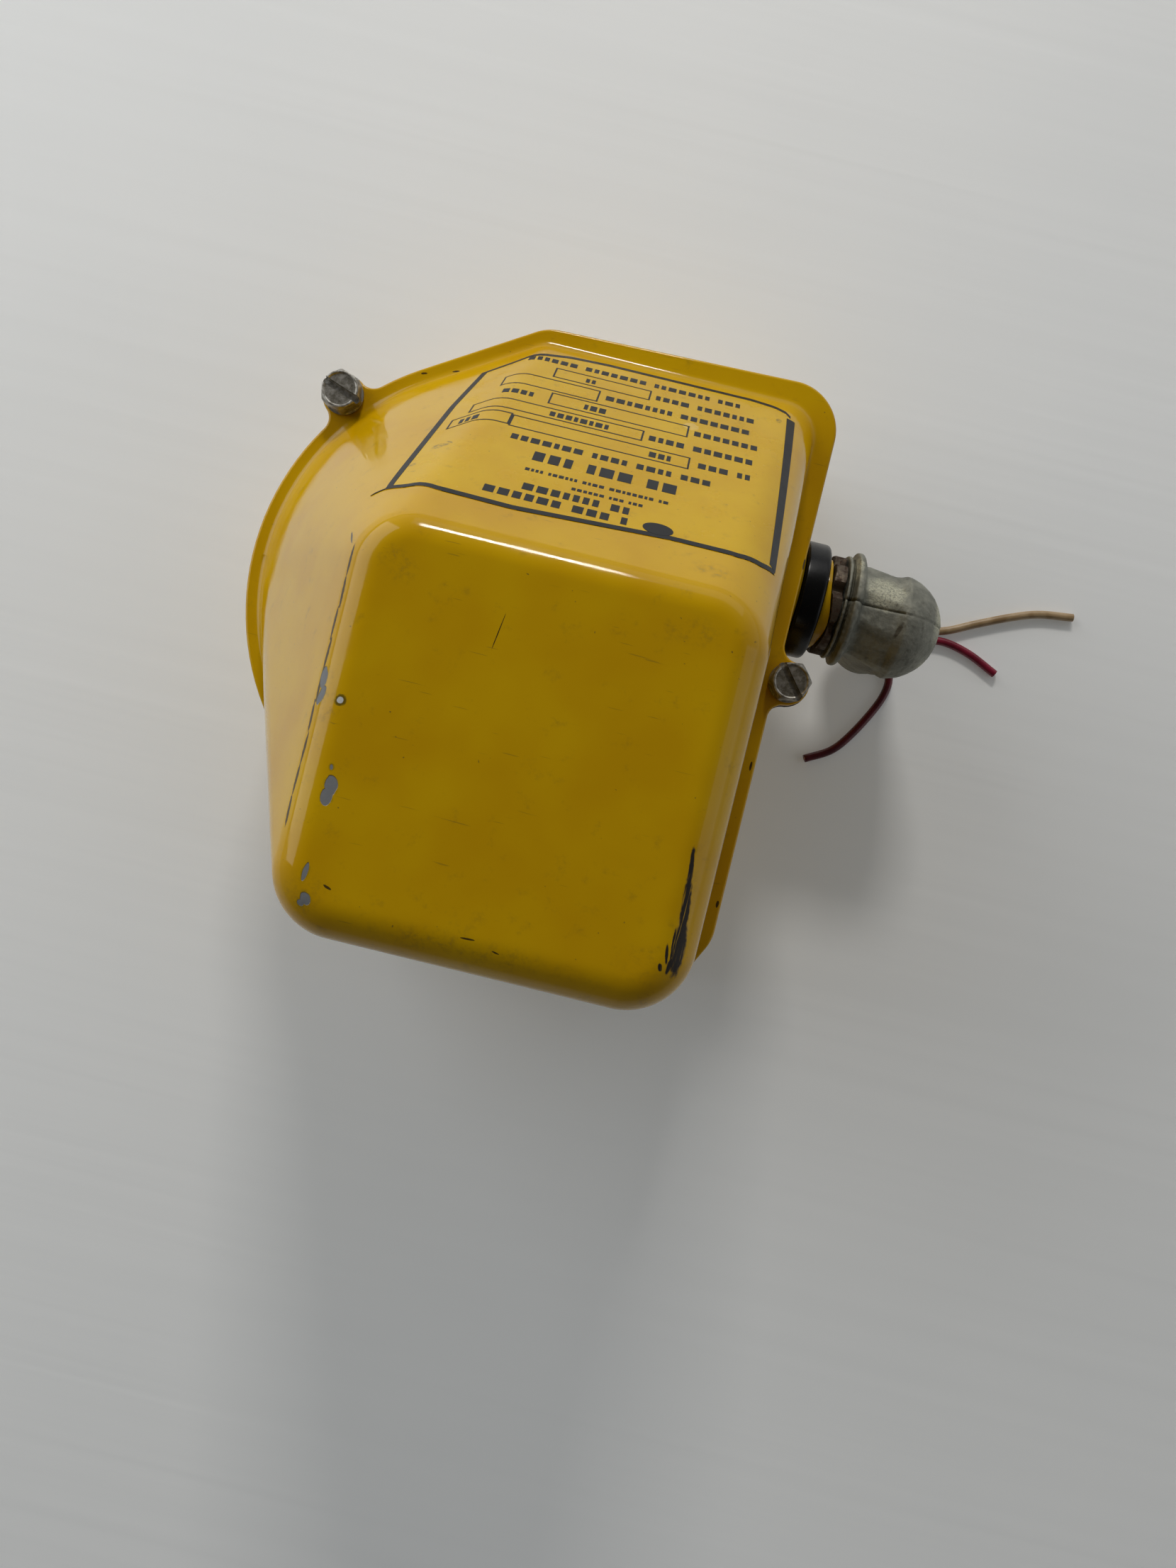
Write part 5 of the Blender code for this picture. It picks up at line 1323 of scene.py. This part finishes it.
def elbow():
    """The cast elbow: threaded nipple, grooved shoulder, body with wrench flats, domed back and outlet."""
    material = cast_zinc()
    thread = [(0.01, 62.0), (9.3, 62.0)]
    for k in range(THREAD_TURNS):
        x = 62.4 + THREAD_PITCH * k
        thread += [(THREAD_ROOT, x), (THREAD_CREST, x + THREAD_PITCH * 0.42),
                   (THREAD_CREST, x + THREAD_PITCH * 0.58), (THREAD_ROOT, x + THREAD_PITCH)]
    thread += [(9.6, 85.0), (10.3, 85.4), (10.3, 86.0), (0.01, 86.0)]
    nipple = spun(thread, material, AXIS, 64, "X")
    shoulder = spun(rounded(SHOULDER, 0.3, 4), material, AXIS, 96, "X")
    loops = [body_section(*section) for section in BODY_SECTIONS]
    for k in range(1, DOME_RINGS + 1):
        turn = math.pi / 2 * k / DOME_RINGS
        out = max(0.02, DOME_RADIUS * math.cos(turn))
        loops.append(body_section(DOME_START + DOME_REACH * math.sin(turn), 0, out))
    whole = loft("elbow", loops, material)
    boolean(whole, spun(rounded(BARREL, 0.4), material, BARREL_AT, 96), "UNION")
    boolean(whole, boolean(nipple, shoulder, "UNION"), "UNION")
    apply_modifier(whole, "REMESH", mode="VOXEL", voxel_size=CASTING_VOXEL * MM, use_smooth_shade=True)
    apply_modifier(whole, "SMOOTH", factor=0.5, iterations=2)
    roughen(whole)
    bore_in = [(0.01, 55), (PASSAGE, 55), (PASSAGE, PASSAGE_END), (0.01, PASSAGE_END)]
    bore_out = [(0.01, 5), (PASSAGE, 5), (PASSAGE, 44), (0.01, 44)]
    boolean(whole, spun(bore_in, material, AXIS, 48, "X"))
    boolean(whole, spun(bore_out, material, BARREL_AT, 48))
    smooth(whole, 50)
    place(whole, "zinc", "conduit_elbow")


# ---- leads

def smooth_route(points, step):
    """Points about a step apart on a smooth curve through the route's own points."""
    knots = [Vector(p) for p in points]
    ends = [2 * knots[0] - knots[1]] + knots + [2 * knots[-1] - knots[-2]]
    dense = []
    for a, b, c, d in zip(ends, ends[1:], ends[2:], ends[3:]):
        for i in range(24):
            t = i / 24
            dense.append(0.5 * (2 * b + (c - a) * t + (2 * a - 5 * b + 4 * c - d) * t * t
                                + (3 * b - a - 3 * c + d) * t * t * t))
    dense.append(knots[-1])
    total = sum((q - p).length for p, q in zip(dense, dense[1:]))
    count = max(8, round(total / step))
    spaced, walked, target = [dense[0]], 0.0, total / count
    for p, q in zip(dense, dense[1:]):
        length = (q - p).length
        while walked + length >= target * len(spaced) - 1e-9 and len(spaced) < count:
            spaced.append(p.lerp(q, (target * len(spaced) - walked) / length))
        walked += length
    return spaced + [dense[-1]], total


def round_loop(centre, side, other, radius, count):
    return [centre + (side * math.cos(a) + other * math.sin(a)) * radius for a in full_turn(count)]


def strands(name, end, along, material):
    """The cut copper strands that show in a lead's end."""
    side = along.orthogonal().normalized()
    other = along.cross(side)
    group = []
    spots = [(0, 0)] + [(STRAND_RING * math.cos(a), STRAND_RING * math.sin(a)) for a in full_turn(6)]
    for k, (u, v) in enumerate(spots):
        middle = end + side * u + other * v
        loops = [round_loop(middle + along * reach, side, other, radius, 8)
                 for reach, radius in ((-1.0, STRAND), (-0.06, STRAND), (-0.02, STRAND - 0.05))]
        group.append(loft(f"{name}_{k}", loops, material))
    return joined(name, group)


def lead(name, slot, material, copper):
    """One cut lead: insulation with a dished end round its copper strands."""
    points, length = smooth_route(LEAD_ROUTES[name], 1.2)
    radius = LEAD / 2 - 0.01
    loops = []
    side = None
    for i, point in enumerate(points):
        before, after = points[max(0, i - 1)], points[min(len(points) - 1, i + 1)]
        along = (after - before).normalized()
        side = side or along.orthogonal()
        side = (side - along * side.dot(along)).normalized()
        loops.append(round_loop(point, side, along.cross(side), radius, 20))
    end = points[-1]

    def shrunk(share, back):
        return [end + (p - end) * share - along * back for p in loops[-1]]

    lip = [shrunk(*way) for way in ((1.0, 0.08), (0.97, 0.0), (0.55, 0.02), (0.5, 0.35))]
    piece = loft(name, loops[:-1] + lip, material)
    core = strands(f"{name}_strands", end, along, copper)
    place(piece, slot, name)
    place(core, slot)


def leads():
    copper = metal("cut_copper", (0.45, 0.17, 0.07), (0.65, 0.28, 0.13), 0.35, 0.6)
    for colour, light_tone, dark_tone in (
        ("beige", (0.44, 0.31, 0.17), (0.30, 0.19, 0.085)),
        ("red", (0.26, 0.010, 0.035), (0.16, 0.006, 0.02)),
        ("dark_red", (0.13, 0.006, 0.014), (0.07, 0.004, 0.008)),
    ):
        skin = insulation(f"{colour}_insulation", light_tone, dark_tone)
        lead(f"lead_{colour}", f"{colour}_wire", skin, copper)


# ---- scene

CAMERA_HEIGHT = RIM_TOP + 307.0
CAMERA_AT = (32.5, -38.0)
CAMERA_ROLL = 13.8
FOCAL = 27.03
FLOOR_LEVEL = -0.02
FLOOR_REACH = 2500.0


def camera():
    data = bpy.data.cameras.new("camera")
    data.lens = FOCAL
    data.sensor_width = 36.0
    data.clip_start = 0.01
    made = bpy.data.objects.new("camera", data)
    made.location = (CAMERA_AT[0] * MM, CAMERA_AT[1] * MM, CAMERA_HEIGHT * MM)
    made.rotation_euler = (0, 0, math.radians(CAMERA_ROLL))
    bpy.context.scene.camera = linked(made)


def floor():
    """A plain pale floor; its underside is clear, so that the part can be seen from below."""
    s = Shader("floor")
    colour = s.mix(s.noise(60, 3), (0.83, 0.835, 0.83), (0.87, 0.87, 0.86))
    ribs = s.streaks(7.0, 2, (0.02, 1, 1), -CAMERA_ROLL)
    s.finish(colour, 0.55, normal=s.bump(ribs, 0.15))
    s.surface.inputs["Emission Color"].default_value = (0.95, 1.0, 0.98, 1)
    s.surface.inputs["Emission Strength"].default_value = 0.09
    clear = s.node("BsdfTransparent").outputs[0]
    back = s.node("NewGeometry").outputs["Backfacing"]
    both = s.node("MixShader", {0: back, 1: s.surface.outputs[0], 2: clear})
    s.tree.links.new(both.outputs[0], s.tree.nodes["Material Output"].inputs[0])
    corners = [(x * FLOOR_REACH, y * FLOOR_REACH, FLOOR_LEVEL)
               for x, y in ((-1, -1), (1, -1), (1, 1), (-1, 1))]
    piece = mesh_piece("floor", corners, [[0, 1, 2, 3]], s.material)
    if piece.data.polygons[0].normal.z < 0:
        piece.data.flip_normals()


def light(name, direction, distance, size, power, colour=(1, 1, 1), target=(15, 0, 70)):
    """A soft box that looks at the part."""
    data = bpy.data.lights.new(name, "AREA")
    data.shape = "RECTANGLE"
    data.size, data.size_y = size
    data.energy = power
    data.color = colour
    made = bpy.data.objects.new(name, data)
    toward = Vector(direction).normalized()
    made.location = Vector(target) * MM + toward * distance
    made.rotation_euler = toward.to_track_quat("Z", "Y").to_euler()
    linked(made)


def world():
    """A pale room: bright round the horizon, dim overhead and dim on the near side, where someone stands."""
    made = bpy.data.worlds.new("room")
    made.use_nodes = True
    bpy.context.scene.world = made
    tree = made.node_tree
    sky = tree.nodes["Background"]

    def wired(kind, *sources):
        node = tree.nodes.new(f"ShaderNode{kind}")
        for socket, source in zip(node.inputs, sources):
            tree.links.new(source, socket)
        return node

    way = wired("SeparateXYZ", wired("TexCoord").outputs["Generated"])
    height = wired("ValToRGB", way.outputs[2])
    low, high = height.color_ramp.elements
    low.color = (0.95, 0.97, 1.0, 1)
    high.position = 0.85
    high.color = (0.10, 0.10, 0.10, 1)
    depth = wired("MapRange", way.outputs[1])
    for key, value in (("From Min", -0.7), ("From Max", 0.3), ("To Min", 0.2)):
        depth.inputs[key].default_value = value
    dimmed = wired("VectorMath", height.outputs[0], depth.outputs[0])
    dimmed.operation = "MULTIPLY"
    tree.links.new(dimmed.outputs[0], sky.inputs[0])
    sky.inputs[1].default_value = 0.55


def lights():
    world()
    light("lamp", (-0.11, 0.84, 0.52), 1.3, (0.28, 0.15), 5.2, (1.0, 0.97, 0.92))
    light("left_side", (-0.85, 0.3, 0.4), 1.1, (1.2, 0.8), 5.7, (0.97, 0.99, 1.0))
    light("far_side", (0.15, 0.9, 0.40), 1.3, (1.4, 0.5), 1.2)
    light("right_side", (0.92, -0.05, 0.42), 1.3, (0.8, 0.8), 0.8)
    scene = bpy.context.scene
    scene.view_settings.view_transform = "Standard"
    scene.view_settings.look = "None"


camera()
leads()
cover()
gasket()
base()
cover_screws()
nameplate()
seal_ring()
washer()
locknut()
elbow()
finish_cad_nodes()
floor()
lights()
